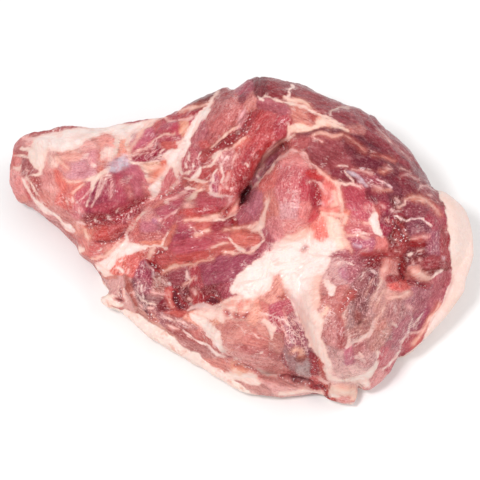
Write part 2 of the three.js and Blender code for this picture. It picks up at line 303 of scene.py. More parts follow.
def lattice_noise(places, size, seed):
    """Smooth noise from -1 to 1: a random value at each corner of a cubic lattice with cells of this size,
    blended along each axis by 3t^2 - 2t^3. A corner's value is a hash of its place and the seed."""
    cell = places / size
    low = np.floor(cell).astype(np.int64)
    t = cell - low
    t = t * t * (3 - 2 * t)
    total = np.zeros(len(places))
    for step in np.ndindex(2, 2, 2):
        key = (low + step) @ PLACE_HASH + seed * SEED_HASH
        key = (key ^ (key >> 13)) * STIR_HASH & LOW_31_BITS
        value = ((key ^ (key >> 16)) & LOW_16_BITS) / (LOW_16_BITS / 2) - 1
        total += value * np.prod(np.where(step, t, 1 - t), axis=-1)
    return total


def bent(along, first_seed):
    """One of the drawing's two measures, with each bend's noise added."""
    noises = [far * lattice_noise(points, size, first_seed + k) for k, (far, size) in enumerate(BENDS)]
    return along + sum(noises)


bent_a, bent_b = bent(a, 1), bent(b, 3)

# LEAN
# The muscles in their own colours, from salmon through crimson to maroon, each with its fibres one way.
# A few rows carry painted light as well: the ball's sheen is a painted highlight, and the pocket's rows
# are dark partly with painted shade. A place takes the mean of the muscles round it, each weighing less
# the further out of it the place lies.

# middle a and b, half lengths along and across, turn, fibre direction, colour, share of white marbling
ARM_MUSCLES = {
    "tip": (-156, 67, 5, 4, 30, 60, (206, 130, 128), 0.3),
    "tip's edge": (-160, 60, 2, 6, 0, 85, (214, 92, 84), 0.1),
    "tip's upper cut": (-152, 61.5, 5, 2.5, -20, -20, (190, 100, 98), 0.3),
    "tip's left cut": (-157, 56, 3, 2.5, 0, 0, (236, 144, 138), 0.2),
    "tip's orange spot": (-148.5, 67.5, 3, 1.4, 10, 10, (250, 184, 176), 0.1),
    "tip's dark cut": (-148, 50.5, 4.5, 5.5, 20, 60, (168, 86, 88), 0.4),
    "cut under the tip": (-144, 38, 3, 7, 15, -60, (190, 96, 92), 0.75),
    "outer strip": (-156, 38, 5, 9, 20, -55, (248, 164, 158), 0.3),
    "outer strip's foot": (-152, 29, 3, 4, 20, -50, (224, 138, 126), 0.2),
    "red beside the line": (-150, 33, 1.8, 9, 18, -60, (204, 100, 98), 0.3),
    "lower strip": (-138, 19, 13, 2.5, -28, -30, (218, 148, 144), 0.2),
    "salmon slope": (-134, 42, 5, 12, 5, -75, (242, 168, 160), 0.3),
    "salmon slope's top": (-131, 56, 4, 7, -8, -75, (255, 210, 198), 0.1),
    "salmon slope's ridge": (-127, 42, 2.5, 8, 20, -65, (234, 124, 112), 0.2),
    "salmon slope's foot": (-136, 30, 5, 5, 10, -60, (222, 140, 130), 0.3),
    "salmon foot": (-122, 27, 5, 7, 20, -60, (232, 122, 112), 0.75),
    "under the salmon foot": (-122, 15, 9, 4, -30, -30, (218, 146, 138), 0.4),
    "upper edge": (-121, 60, 9, 4, 6, 10, (248, 178, 164), 0.1),
    "upper edge, right": (-106, 66, 8, 3.5, 20, 20, (250, 184, 176), 0.3),
    "pale-edged": (-113, 49, 8, 6, 8, 15, (221, 154, 162), 0.4),
    "left of the pale-edged": (-122, 51, 4, 4, 0, -40, (228, 152, 148), 0.2),
    "under the pale-edged": (-116, 38, 5, 3, 20, 20, (222, 122, 116), 0.4),
    "upper end": (-95, 70, 9, 3.5, 5, 15, (250, 168, 156), 0.2),
    "white-flecked": (-103, 57, 5, 6, -20, 70, (228, 150, 156), 0.6),
    "between the flecks": (-97, 57, 2.5, 7, 0, 85, (230, 138, 124), 0.2),
    "pink between the flecks": (-92, 63, 3, 5, 0, 85, (244, 176, 168), 0.4),
    "orange by the spur": (-81.5, 65, 3.5, 5, 10, 80, (255, 172, 150), 0.3),
    "purple, far left": (-109, 31, 4, 6, -30, 60, (208, 102, 116), 0.3),
    "purple, left": (-100, 33, 4, 10, -18, 68, (146, 30, 72), 0.3),
    "purple, middle": (-92, 36, 6, 9, -10, 76, (168, 64, 86), 0.3),
    "purple, right": (-84, 36, 5, 11, -5, 85, (182, 76, 94), 0.1),
    "purple, far right": (-73, 42, 7, 10, 25, -60, (206, 112, 126), 0.1),
    "brown in the purple": (-78, 36, 4, 6, 0, 85, (196, 106, 106), 0.3),
    "purple head": (-76, 50, 3.5, 3, 0, -60, (200, 104, 124), 0.1),
    "by the white fan": (-65, 35, 2.5, 6, 20, -60, (228, 140, 136), 0.1),
    "purple foot": (-88, 23, 14, 4, 0, 60, (188, 74, 90), 0.2),
    "pink foot": (-115, 20, 4, 6, 10, -70, (230, 140, 144), 0.6),
    "dark cut": (-98, 14, 11, 4, 5, 70, (160, 52, 60), 0.75),
    "dark cut, right": (-77, 21, 12, 4, 30, 70, (172, 66, 78), 0.75),
    "dark cut's end": (-63, 25, 6, 2.5, 30, 50, (238, 160, 154), 0.7),
    "ledge": (-97, 5, 9, 4, 0, 12, (206, 84, 78), 0.4),
    "ledge, right": (-87, 7, 6, 4, 25, 25, (198, 92, 92), 0.5),
    "ledge's left": (-105, 7, 4, 5, 25, -60, (230, 130, 112), 0.3),
    "lobe under the ledge": (-101, -8, 6, 4, -10, 0, (222, 116, 112), 0.4),
    "lobe's rim": (-92, -5, 7, 3.5, 35, 35, (228, 148, 138), 0.2),
    "lobe's left": (-109, -4, 3.5, 6, 15, -70, (232, 146, 136), 0.3),
    "left of the ledge": (-112, 8, 4, 5, 25, -60, (232, 156, 142), 0.2),
    "orange patch": (-85, -17, 4.5, 5, 0, 60, (246, 138, 122), 0.7),
    "red beside it": (-76, -16, 4, 6, 0, 40, (226, 112, 104), 0.6),
    "red flecked": (-71, -9, 4, 4, 20, 40, (218, 112, 102), 0.7),
    "under the nub": (-86, -31, 6, 4, 0, 60, (222, 166, 160), 0.2),
    "brown fold": (-92, -26, 5, 1.2, -5, -5, (220, 146, 132), 0.1),
}
UPPER_MUSCLES = {
    "fan": (-66, 71, 8, 7, 40, 40, (208, 108, 128), 0.3),
    "fan's right": (-50, 78, 11, 4, 12, 15, (192, 72, 92), 0.1),
    "fan's middle": (-58, 78, 4, 4, 60, 50, (214, 98, 98), 0.1),
    "fan's end": (-40, 80, 3, 4, 0, 60, (240, 162, 134), 0.1),
    "fan's rim": (-69, 78, 10, 1.5, 42, 42, (255, 236, 228), 0.1),
    "lower fan": (-64, 61, 10, 4.5, 35, 35, (164, 50, 76), 0.75),
    "lower fan's right": (-54, 70.5, 7, 2.5, 15, 20, (194, 88, 102), 0.5),
    "lower fan's end": (-49, 66.5, 7, 2, 5, 10, (218, 114, 106), 0.2),
    "orange fan": (-58, 47, 6, 3, 45, 45, (230, 118, 96), 0.2),
    "peach over it": (-63, 50.5, 5, 3, 10, 20, (242, 196, 170), 0.6),
    "inner fan": (-49.5, 42, 3.5, 8, -12, 70, (216, 126, 128), 0.2),
    "on the outline": (-42, 87.5, 10, 3, 22, 25, (176, 36, 58), 0.2),
    "edge of it": (-40, 93, 6, 1.6, 25, 25, (200, 108, 108), 0.2),
    "dark on the outline": (-28, 99, 9, 2.3, 22, 20, (124, 32, 40), 0.2),
    "tail between the seams": (-30, 92.5, 5, 1.2, 20, 20, (150, 8, 34), 0.1),
    "right of the seam": (-27, 74, 5, 7, -20, 60, (194, 106, 114), 0.3),
    "right of it": (-17, 82, 5, 13, -22, 60, (198, 106, 104), 0.3),
    "red by the seam": (-25, 67.5, 4, 2.5, 0, 40, (202, 94, 92), 0.3),
    "flecked": (-5, 88, 6, 11, -15, 60, (212, 122, 118), 0.75),
    "flecked, right": (2, 84, 3, 7, -20, 60, (255, 196, 198), 0.75),
    "peach on the crest": (8, 96, 3, 6, -10, 60, (226, 150, 140), 0.4),
    "crest of it": (4, 105, 5, 6, 0, 60, (178, 84, 100), 0.2),
    "crest's dark line": (2.5, 100, 2, 5, -20, 60, (146, 58, 70), 0.1),
    "dark crest": (14, 107, 4, 6, 0, 70, (126, 52, 60), 0.1),
    "left of the crest": (-10, 102, 5, 5, 0, 30, (168, 82, 84), 0.2),
    "brown crest": (28, 105, 9, 6, -12, -20, (144, 44, 54), 0.2),
    "in the groove": (-8, 68.5, 15, 2.8, 36, 38, (156, 64, 68), 0.2),
    "head of the groove": (6, 83, 2.5, 7, -30, 60, (180, 84, 90), 0.3),
    "foot of the seam": (-34, 58, 4, 8, 10, 75, (196, 104, 112), 0.75),
    "brick under the groove": (-24, 57, 5, 3.5, 20, 30, (190, 94, 94), 0.3),
    "below the groove": (-8, 56, 7, 6, 0, 70, (216, 144, 144), 0.75),
    "below the groove, lower": (-9, 42, 6, 9, 0, 80, (218, 110, 110), 0.75),
    "right of the network": (0, 44, 4, 10, -10, 75, (196, 74, 80), 0.75),
    "purple in the network": (-17, 39, 3, 5, 0, 80, (196, 104, 124), 0.75),
    "round nodule": (-24, 46.5, 4, 4.5, 0, 30, (190, 84, 84), 0.2),
    "nodule's tail": (-18, 51, 4, 2.5, 45, 45, (190, 86, 84), 0.3),
    "small nodule": (-37, 41.5, 2, 2, 0, 30, (188, 100, 96), 0.3),
    "small nodule, right": (-32.5, 39.5, 3, 2, 10, 30, (196, 104, 96), 0.3),
    "salmon under them": (-26, 37, 4, 2.5, 0, 10, (233, 158, 142), 0.2),
    "red band": (14, 76, 17, 6, 50, 54, (204, 86, 88), 0.5),
    "red band's pale ridge": (3, 68, 9, 2.2, 55, 56, (218, 106, 100), 0.3),
    "red band's dark line": (7, 63, 12, 1.8, 62, 60, (176, 62, 70), 0.2),
    "red band's foot": (-1, 58, 9, 3, 62, 62, (206, 96, 98), 0.75),
    "red by the hollow": (9, 47, 1.8, 9, -20, 75, (198, 70, 72), 0.1),
    "red by the hollow, upper": (14, 60, 2, 7, -35, 60, (168, 44, 46), 0.1),
    "red band's head": (29, 82, 8, 6, 0, 50, (188, 72, 84), 0.4),
    "under the cream line": (24, 93, 12, 3, -22, -25, (188, 102, 112), 0.2),
    "peach shoulder": (41, 86, 7, 6, -10, -20, (216, 136, 122), 0.3),
    "brown-red on the shoulder": (50, 87, 3.5, 3, -20, -20, (182, 84, 80), 0.3),
}
BALL_AND_CREST_MUSCLES = {
    "hollow's wall": (21, 56, 9, 3.5, 45, 45, (150, 78, 94), 0.0),
    "hollow's lower wall": (12, 46, 8, 3, 55, 55, (168, 106, 116), 0.0),
    "ball": (35, 43, 9, 9, 0, 75, (218, 116, 120), 0.75),
    "ball's head": (37, 57, 10, 4, -18, -20, (242, 152, 148), 0.3),
    "ball's left side": (20, 42, 5, 8, -35, 50, (228, 122, 116), 0.5),
    "ball's right": (46, 36, 4, 9, 0, 80, (200, 68, 82), 0.3),
    "ball's red shoulder": (51, 45, 5, 2.5, -15, 0, (214, 66, 68), 0.1),
    "ball's middle": (33, 30, 9, 6, 0, 80, (212, 118, 122), 0.7),
    # The ball's sheen is a painted highlight.
    "ball's sheen": (35, 21, 6, 7, 0, 80, (233, 172, 174), 0.75),
    "ball's lower right": (45, 20, 4, 7, -10, 70, (246, 152, 148), 0.3),
    "ball's foot": (36, 10, 9, 4, 0, 30, (244, 158, 154), 0.7),
    "ball's lower left": (22, 25, 5, 9, 0, 75, (222, 136, 126), 0.2),
    "ball's left foot": (24, 10, 4, 6, 0, 75, (240, 158, 160), 0.4),
    "ball's dark side": (54, 31, 3.5, 9, -3, 80, (172, 44, 64), 0.1),
    "ball's dark foot": (51, 17, 2.5, 5, -20, 60, (216, 90, 96), 0.1),
    "cleft": (62, 30, 4, 10, -5, 80, (246, 136, 130), 0.3),
    "cleft's foot": (62, 21.5, 7, 1.5, 0, 0, (246, 142, 134), 0.2),
    "red in the fat": (55, 6.5, 4.5, 6, 0, 85, (250, 146, 134), 0.75),
    "crest's left end": (42, 67, 9, 4, 20, 10, (196, 104, 104), 0.2),
    "crest": (62, 62, 18, 9, -28, -28, (160, 76, 82), 0.1),
    "crest's dark foot": (71, 44, 7, 3.5, -38, -35, (142, 54, 68), 0.1),
    "crest's middle": (92, 58, 20, 9, -24, -24, (114, 40, 54), 0.1),
    "under the film": (91, 43, 7, 4, -20, -24, (164, 76, 90), 0.5),
    "crest's far side": (60, 99, 24, 6, -24, -20, (156, 72, 78), 0.1),
    "round one on it": (75, 87, 9, 6, -20, -20, (154, 74, 82), 0.1),
    "brown one on it": (80, 77.5, 6, 3.5, -15, -20, (186, 110, 104), 0.4),
    "crest's far right": (108, 68, 18, 9, -45, -42, (146, 46, 60), 0.1),
    "crest's right end": (118, 40, 11, 8, -15, -25, (128, 40, 54), 0.1),
    "crest's lower right": (108, 36, 5, 6, 0, -40, (124, 54, 68), 0.1),
    "dark strip in the peach": (56, 76, 11, 1.6, 6, 5, (100, 34, 58), 0.2),
}
RIND_SIDE_MUSCLES = {
    "shoulder's head": (80, 31, 9, 5, -12, -60, (190, 76, 90), 0.2),
    "shoulder's dark end": (97, 30, 8, 4, -12, -60, (136, 44, 62), 0.1),
    "shoulder": (84, 21, 9, 7, 0, -65, (206, 96, 110), 0.5),
    "shoulder's orange": (75, 19.5, 3, 2.5, 0, -60, (246, 142, 122), 0.2),
    "shoulder's foot": (80, 12, 4.5, 5, 0, -60, (218, 124, 124), 0.5),
    "over the oval": (83, 8, 8, 3, -5, 0, (214, 116, 120), 0.4),
    "shoulder's orange end": (96.5, 19.5, 2, 4, 0, -60, (220, 104, 96), 0.2),
    "right of the shoulder": (99, 24, 4, 8, 0, 70, (170, 62, 80), 0.4),
    "purple by the patch": (103, 15, 3.5, 9, 0, 75, (138, 26, 62), 0.5),
    "crimson by the patch": (101, 8, 4.5, 3, 0, 75, (164, 42, 68), 0.2),
    "over the arch": (132, 31.5, 8, 3, -35, -30, (150, 50, 60), 0.1),
    "left of the arch": (109, 27, 3.5, 5, 0, 80, (108, 26, 44), 0.4),
    "arched": (123, 22, 8, 6, -6, 0, (144, 60, 74), 0.2),
    "arch's right": (136, 15, 6, 6, -20, 70, (170, 60, 78), 0.2),
    "arch's left foot": (111, 19, 4, 2.5, 0, 0, (144, 44, 56), 0.3),
    "under the white line": (122, 9, 8, 3.5, -5, 0, (134, 62, 78), 0.4),
    "red by the rind": (143, -1, 2.5, 9, 0, 85, (172, 58, 66), 0.3),
    "purple by the rind": (135, -2, 5.5, 8, 0, 80, (168, 88, 106), 0.75),
    "crimson in the middle": (125, -2.5, 5, 3, 0, 0, (150, 28, 40), 0.0),
    "bloody hollow": (112, 5, 4.5, 9, -35, 60, (116, 2, 20), 0.3),
    "granular": (110, -5, 5, 5, 0, 60, (156, 52, 54), 0.2),
    "bloody, lower": (124, -11, 7, 5, 0, 20, (122, 34, 46), 0.3),
    "brick": (134, -16, 6, 5, -15, 20, (162, 64, 70), 0.3),
    "brick's orange foot": (134, -22, 6, 2, 10, 20, (126, 8, 10), 0.3),
    "below the arch's rind": (140, -29, 5, 5, 0, 75, (186, 96, 106), 0.4),
    "near the arch's rind": (137, -42, 4, 9, -30, 60, (184, 100, 110), 0.3),
    "oval": (86, -2.5, 9, 3.2, -5, -5, (190, 100, 122), 0.75),
    "under the oval": (83, -7, 4, 1.6, 0, 0, (162, 64, 86), 0.3),
    "right of the oval": (99, -4, 4, 5, 0, 70, (224, 126, 120), 0.2),
    "red over the socket": (96, -10, 10, 1.4, 0, 0, (206, 88, 92), 0.2),
    "socket's left wall": (96, -17, 3, 2.5, 0, 60, (138, 42, 52), 0.4),
    "tissue in the socket": (105, -19, 5, 6, 0, 70, (228, 158, 150), 0.3),
    "socket's right wall": (113.5, -20, 2.2, 6, -10, 70, (142, 32, 38), 0.1),
    "brown in the socket": (107, -27, 3.5, 2.5, 0, 70, (156, 40, 48), 0.4),
    "orange-red cut": (112, -33, 4.5, 4.5, 0, 30, (238, 116, 108), 0.4),
    "under the cut": (112, -39, 7, 3, 0, 10, (226, 172, 162), 0.3),
    "round the pale patch": (122, -24, 5, 5, 0, 30, (222, 150, 142), 0.3),
    "slit's ground": (125, -30.5, 6, 1.5, -8, 0, (150, 84, 92), 0.0),
}
KNOB_MUSCLES = {
    "knob's head": (77, -12, 9, 2.2, -3, 0, (180, 98, 108), 0.5),
    "head's pale side": (66, -20, 5, 7, -35, 30, (226, 178, 174), 0.5),
    "purple in the head": (72, -22, 3, 3, 0, 30, (200, 130, 145), 0.4),
    "head's right": (79, -20, 4, 4, 0, 30, (185, 108, 118), 0.75),
    "pink island": (59, -33, 4, 4, 0, 20, (226, 162, 154), 0.3),
    "mesh in the fat": (60, -52, 4, 6, 0, 50, (214, 144, 136), 1.0),
    "streaked": (92, -29, 3.5, 7, -15, 75, (128, 60, 70), 0.6),
    "streaked, left": (86, -28, 3, 5, -25, 60, (160, 96, 98), 0.6),
    "orange-brown cut": (77, -40, 2.5, 2.5, 0, 50, (178, 96, 88), 0.3),
    "cut's lower end": (73, -46, 4, 1.6, 55, 50, (212, 134, 128), 0.3),
    "pink, left": (65, -42, 6, 5, 0, 20, (206, 126, 120), 0.6),
    "brown fibres": (85, -44, 3.5, 9, -5, 80, (144, 86, 88), 0.75),
    "brown-red fibres": (82, -54, 2.5, 5, 0, 85, (170, 96, 88), 0.4),
    "greyish": (77, -54, 3.5, 8, 0, 80, (166, 124, 120), 0.75),
    "pale, right": (95, -50, 5, 9, -15, 70, (186, 134, 128), 0.6),
    "right side": (109, -50, 6, 8, -15, 70, (196, 132, 130), 0.75),
    "right side's foot": (110, -67, 4, 12, -20, 68, (186, 92, 106), 0.5),
    "peach-brown": (99, -66, 5, 8, -15, 70, (208, 142, 130), 0.75),
    "small red": (64, -66, 5, 7, 0, 60, (206, 138, 134), 0.75),
    "small red's dark side": (70, -64, 3, 7, -5, 75, (182, 98, 96), 0.5),
    "left foot": (63, -79, 3.5, 4, 0, 60, (202, 150, 146), 0.6),
    "swirl": (84, -62, 7, 3.5, 20, 25, (186, 130, 122), 0.5),
    "swirl's brown": (84, -60, 3, 3, 0, 80, (100, 38, 42), 0.4),
    "below the swirl": (94, -68, 6, 2.5, 50, 55, (192, 136, 130), 0.5),
    "below the swirl, left": (84, -76, 5, 2.5, 40, 45, (196, 126, 124), 0.5),
    "crimson-pink": (77, -83, 3, 5, -25, 60, (206, 122, 136), 0.3),
    "oval end": (76, -92, 11, 3.5, 3, 10, (243, 196, 186), 0.7),
    "oval end's left": (68, -86, 4, 5, 0, 60, (216, 166, 160), 0.6),
    "oval end's flecked": (86, -83, 5, 5, 20, 30, (210, 152, 148), 0.75),
    "knob's right foot": (103, -82, 4, 8, -22, 68, (206, 98, 106), 0.3),
    "by the rim": (98, -95, 2.5, 5, -30, 60, (236, 162, 158), 0.3),
    "outer foot": (119, -72, 4, 7, -30, 60, (190, 68, 80), 0.2),
    "outer side": (126, -57, 5, 9, -30, 60, (176, 82, 106), 0.4),
    "outer side's head": (123, -43, 6, 6, -30, 60, (182, 106, 118), 0.6),
}
MIDDLE_MUSCLES = {
    "upper strip": (-22, 27, 12, 4.5, 3, 4, (190, 86, 96), 0.2),
    "upper strip's foot": (-24, 20.5, 13, 2.5, 6, 5, (184, 62, 72), 0.2),
    "upper strip's end": (-13, 27, 4, 5, -20, 60, (196, 98, 106), 0.2),
    "upper strip's salmon": (-36, 25, 3.5, 4, 0, 60, (246, 182, 170), 0.2),
    "upper strip's red": (-34, 18.5, 7, 3, 10, 5, (208, 88, 84), 0.2),
    "upper strip's left": (-44, 26, 6, 3, 30, 28, (198, 98, 114), 0.2),
    "upper strip's top": (-37, 32, 4, 1.6, 15, 20, (182, 82, 98), 0.2),
    "right of the strip's end": (-3, 25, 2, 5, -20, 65, (238, 148, 146), 0.2),
    "left strip": (-53, 20, 7, 4, 25, 30, (194, 96, 112), 0.2),
    "left strip's top": (-56, 24.5, 7, 1.8, 15, 25, (222, 138, 128), 0.3),
    "left strip's pink": (-62, 16.5, 5, 3, 20, 30, (228, 156, 150), 0.6),
    "left strip's spot": (-60, 13.5, 2, 1.6, 0, 30, (214, 146, 174), 0.4),
    "left strip's purple": (-65, 9, 6, 3.5, 25, 30, (210, 124, 136), 0.3),
    "left strip's edge": (-73, 9, 3, 6, 0, 60, (228, 126, 120), 0.6),
    "left strip's foot": (-63, 3, 10, 2.5, 0, 10, (214, 124, 118), 0.75),
    "left strip's right": (-51, 12, 3, 7, -20, 55, (188, 88, 98), 0.2),
    "orange foot": (-60, -1.5, 7, 1.8, 0, 5, (242, 152, 130), 0.2),
    "brown band": (-49, 3, 2.5, 8, -25, 60, (206, 112, 98), 0.1),
    "pink band": (-41, 14, 5, 2.5, 30, 30, (186, 88, 96), 0.4),
    "purple strip": (-40, 4, 8, 3.5, 14, 14, (168, 66, 86), 0.1),
    "purple strip's top": (-38, 9, 7, 2, 14, 14, (188, 82, 96), 0.2),
    "between purple and dark": (-25, 10, 6, 2, 8, 8, (208, 96, 90), 0.2),
    "tongue": (-36, -4, 12, 5, 10, 10, (192, 86, 98), 0.1),
    "tongue's left": (-51, -12, 6, 4, 20, 15, (208, 100, 98), 0.1),
    "tongue's foot": (-33, -12, 16, 3.5, 10, 12, (204, 90, 86), 0.1),
    "tongue's right": (-15, -8, 12, 2.6, 8, 8, (192, 90, 84), 0.1),
    "tongue's head": (-17, 3, 9, 3, -4, 0, (190, 86, 92), 0.2),
    "small tongue": (5, 0.5, 10, 4, -8, -5, (220, 118, 106), 0.2),
    "dark strip": (-12, 10.5, 9, 2.5, 12, 15, (164, 56, 68), 0.1),
    "dark strip's red": (-4, 12, 2.5, 3, 0, 30, (158, 34, 40), 0.1),
    "purple end": (10, 25, 4.5, 8, -20, 60, (202, 124, 138), 0.2),
    "purple end's foot": (3, 16, 4.5, 5, -10, 60, (184, 98, 110), 0.2),
    "deep muscle": (-8, -17, 19, 6.5, 18, 20, (166, 77, 96), 0.2),
    "deep muscle's left": (-31, -27, 4, 9, 0, 80, (182, 72, 82), 0.5),
    "below the tongue": (-43, -26, 7, 5, 0, 10, (162, 78, 88), 0.3),
    "end of the deep muscle": (18, -3, 4, 9, -12, 75, (184, 96, 108), 0.2),
    "under the deep muscle": (-11, -36, 5, 4, 0, 60, (174, 74, 90), 0.4),
    "in the notch": (-61, -17, 4, 3, -40, -30, (170, 48, 54), 0.1),
    "purple by the notch": (-66, -24, 4.5, 7, 0, 80, (174, 80, 102), 0.75),
    "purple's foot": (-68, -34, 4, 6, 0, 80, (172, 102, 112), 0.75),
    "grey tissue": (-56, -30, 5, 6, 0, -40, (176, 118, 110), 0.75),
    "brown in the tissue": (-53, -23, 4, 2, -30, -30, (150, 24, 38), 0.3),
    "grey patch": (-61, -41.5, 5, 2.5, -10, -15, (166, 112, 112), 0.3),
    "under the grey patch": (-51, -46, 6, 3, -10, -15, (136, 24, 48), 0.4),
    "pocket's left lip": (-49, -40, 3, 5, 15, -60, (200, 74, 78), 0.2),
    # The pocket's two rows are dark partly with painted shade in the hollow, partly with dark meat.
    "pocket": (-41, -41, 5, 6, 0, 60, (126, 38, 48), 0.5),
    "pocket, right": (-18, -38, 7, 4.5, 8, 60, (136, 40, 50), 0.4),
    "between the pockets": (-29, -40, 4, 3.5, 0, 70, (184, 60, 66), 0.4),
}
NEAR_MUSCLES = {
    "near strip": (-67, -43, 3.5, 9, 30, -55, (112, 54, 64), 0.5),
    "near strip's edge": (-76, -37, 1.5, 10, 22, -65, (172, 92, 82), 0.2),
    "near strip's salmon": (-78, -44, 2, 6, 20, -60, (224, 168, 160), 0.2),
    "near strip's middle": (-56, -53, 10, 3, -38, -40, (178, 114, 116), 0.75),
    "near strip's brown foot": (-60, -57, 14, 1.5, -38, -38, (214, 156, 142), 0.2),
    "near strip's red": (-44, -51, 7, 2.2, -10, -15, (198, 92, 84), 0.1),
    "orange above it": (-35, -55, 3.5, 3, -15, -15, (238, 164, 144), 0.4),
    "near strip's pink": (-42, -57, 10, 2, -32, -33, (202, 140, 136), 0.6),
    "near strip's lower": (-40, -66, 12, 3, -35, -35, (182, 100, 96), 0.5),
    "near strip's upper end": (-26, -69, 10, 2.5, -32, -32, (202, 116, 108), 0.4),
    "near strip's end": (-28, -77, 14, 2.5, -30, -30, (196, 134, 128), 0.3),
    "near strip's foot": (-14, -85.5, 8, 2.5, -20, -22, (226, 150, 138), 0.3),
    "orange end": (-1, -89, 5, 2.5, -20, -20, (244, 172, 146), 0.2),
    "lobe": (-3, -66, 9, 7, -30, 0, (226, 152, 140), 0.3),
    "lobe's brown band": (12, -77, 16, 2.5, -12, -10, (196, 110, 106), 0.5),
    "lobe's middle": (8, -70, 12, 5, -10, -8, (214, 132, 122), 0.3),
    "lobe's foot": (14, -87, 14, 4, -14, -12, (226, 152, 144), 0.5),
    "lobe's right": (24, -73, 4, 6, 0, -30, (202, 134, 124), 0.3),
    "gland": (-2, -48, 12, 5, 0, 0, (250, 214, 200), 0.3),
    "gland's purple spot": (0, -46, 2.5, 1.8, 0, 0, (226, 160, 168), 0.4),
    "right of the gland": (10, -50, 6, 5, 0, 20, (246, 178, 158), 0.4),
    "orange loop": (-17, -56.5, 2.5, 2, 0, 20, (242, 172, 148), 0.3),
    "pink in the fat": (23, -38, 5, 5, -20, 50, (240, 172, 156), 0.2),
    "wedge's head": (27, -48, 6, 4, 0, 20, (200, 96, 112), 0.5),
    "wedge's salmon": (18, -47, 3.5, 3.5, 0, 20, (216, 126, 118), 0.3),
    "wedge": (27, -58, 5, 5, 20, -60, (196, 82, 100), 0.9),
    "wedge's middle": (38, -66, 5, 9, 25, -60, (172, 96, 114), 1.0),
    "wedge's foot": (40, -77, 4, 4, 25, -60, (134, 72, 90), 0.9),
    "wedge's brown": (42, -82.5, 2.5, 2.5, 0, 0, (160, 88, 78), 0.3),
    "wedge's grey": (36, -84, 4, 6, 20, -60, (172, 126, 126), 0.2),
    "wedge's grey, right": (44, -90, 3.5, 5, 20, -60, (200, 174, 170), 0.1),
    "wedge's maroon edge": (48, -66, 2, 12, 15, 80, (134, 58, 70), 0.2),
    "wedge's end": (51.5, -88, 2.2, 8, 5, 80, (156, 60, 68), 0.1),
    "between lobe and wedge": (17, -60, 3, 5, 0, 0, (236, 168, 154), 0.4),
    "flap": (30, -103, 8, 4, -5, -12, (236, 180, 172), 0.3),
    "flap's cut": (15, -104.5, 6, 1.6, -35, -35, (208, 150, 142), 0.2),
    "red at the wedge's end": (52, -97, 2.5, 2.5, 0, 0, (232, 132, 128), 0.1),
    "beside the wedge's end": (57, -86, 1.5, 7, 12, 80, (190, 76, 66), 0.2),
}
HIDDEN_MUSCLES = {
    "back of the arm": (-128, 98, 18, 12, -8, 10, (192, 108, 108), 0.15),
    "back of the arm, right": (-96, 106, 16, 14, 10, 20, (178, 92, 100), 0.15),
    "back of the fan": (-66, 108, 14, 12, 30, 30, (196, 100, 108), 0.15),
    "back of the seam": (-38, 122, 16, 9, 25, 25, (170, 84, 92), 0.15),
    "back of the apex": (-10, 124, 14, 11, -10, 0, (162, 78, 88), 0.15),
    "back of the apex, low": (2, 140, 26, 7, 0, 5, (192, 110, 110), 0.15),
    "back of the crest": (30, 126, 16, 10, -15, -20, (160, 78, 84), 0.15),
    "back of the crest, right": (60, 116, 14, 10, -30, -25, (166, 84, 90), 0.15),
    "back of the far right": (92, 102, 16, 9, -45, -40, (150, 70, 80), 0.15),
    "back of the right end": (116, 84, 12, 8, -50, -50, (172, 92, 100), 0.15),
    "end of the arm": (-176, 66, 10, 12, 0, 80, (204, 122, 116), 0.15),
    "end of the arm, low": (-176, 42, 10, 12, 0, 80, (190, 106, 104), 0.15),
    "under the arm": (-140, 2, 30, 10, -32, -32, (206, 128, 122), 0.15),
}
muscle_groups = (ARM_MUSCLES, UPPER_MUSCLES, BALL_AND_CREST_MUSCLES, RIND_SIDE_MUSCLES, KNOB_MUSCLES,
                 MIDDLE_MUSCLES, NEAR_MUSCLES, HIDDEN_MUSCLES)
MUSCLE_FALLOFF = 3.2
FARTHEST_SHARE = 60
NO_WEIGHT = 1e-90
FIBRE_CLIMB = 0.6
FIBRE_SHIFT = 7
GLOSS_SHARE = 0.014
DARKEST_LEAN = 0.004


def linear(colour):
    """A colour given as it shows on a screen, 0 to 255, as light: ((c + 0.055) / 1.055)^2.4, and c / 12.92
    when it is very dark."""
    c = np.asarray(colour, float) / 255
    return np.where(c <= 0.04045, c / 12.92, ((c + 0.055) / 1.055) ** 2.4)


weight_sum = np.full(len(points), NO_WEIGHT)
lean_colour = np.zeros((len(points), 3))
marbling = np.zeros(len(points))
best_weight = np.zeros(len(points))
grain = np.zeros((len(points), 3))
for muscle in (row for group in muscle_groups for row in group.values()):
    at_a, at_b, half_along, half_across, turned, fibre_turn, colour, white = muscle
    share = ellipse_share(bent_a, bent_b, at_a, at_b, half_along, half_across, turned)
    weight = np.exp(-MUSCLE_FALLOFF * np.minimum(share, FARTHEST_SHARE))
    weight_sum += weight
    lean_colour += weight[:, None] * linear(colour)
    marbling += weight * white
    # The strongest muscle gives the fibres' run: along them, across them, and up through the meat.
    cos, sin = np.cos(np.radians(fibre_turn)), np.sin(np.radians(fibre_turn))
    local = np.stack([(a - at_a) * cos + (b - at_b) * sin, (b - at_b) * cos - (a - at_a) * sin,
                      points[:, 2] * FIBRE_CLIMB + FIBRE_SHIFT * at_a], axis=-1)
    grain = np.where((weight > best_weight)[:, None], local, grain)
    best_weight = np.maximum(weight, best_weight)
# The gloss adds a little white to the colour that shows, so that much is left out of the paint.
lean_colour = np.maximum(lean_colour / weight_sum[:, None] - GLOSS_SHARE, DARKEST_LEAN)
marbling /= weight_sum

# FAT AND CONNECTIVE TISSUE
# Sheets, seams and cords of fat between the muscles, white where thick and orange or peach where thin enough
# for the meat to show through. A few strokes are painted highlights laid on as fat: the glints, sparkles and
# shine of wet meat, and the highlights on the arm, the arm's film, the oval and by the hollow. Each is one
# or
# more strokes: places on its route with the half width there.
WHITE = (246, 225, 219)
CREAM = (240, 213, 203)
PEACH = (246, 196, 180)
PINK_FAT = (240, 186, 184)
GREY_FAT = (196, 170, 164)

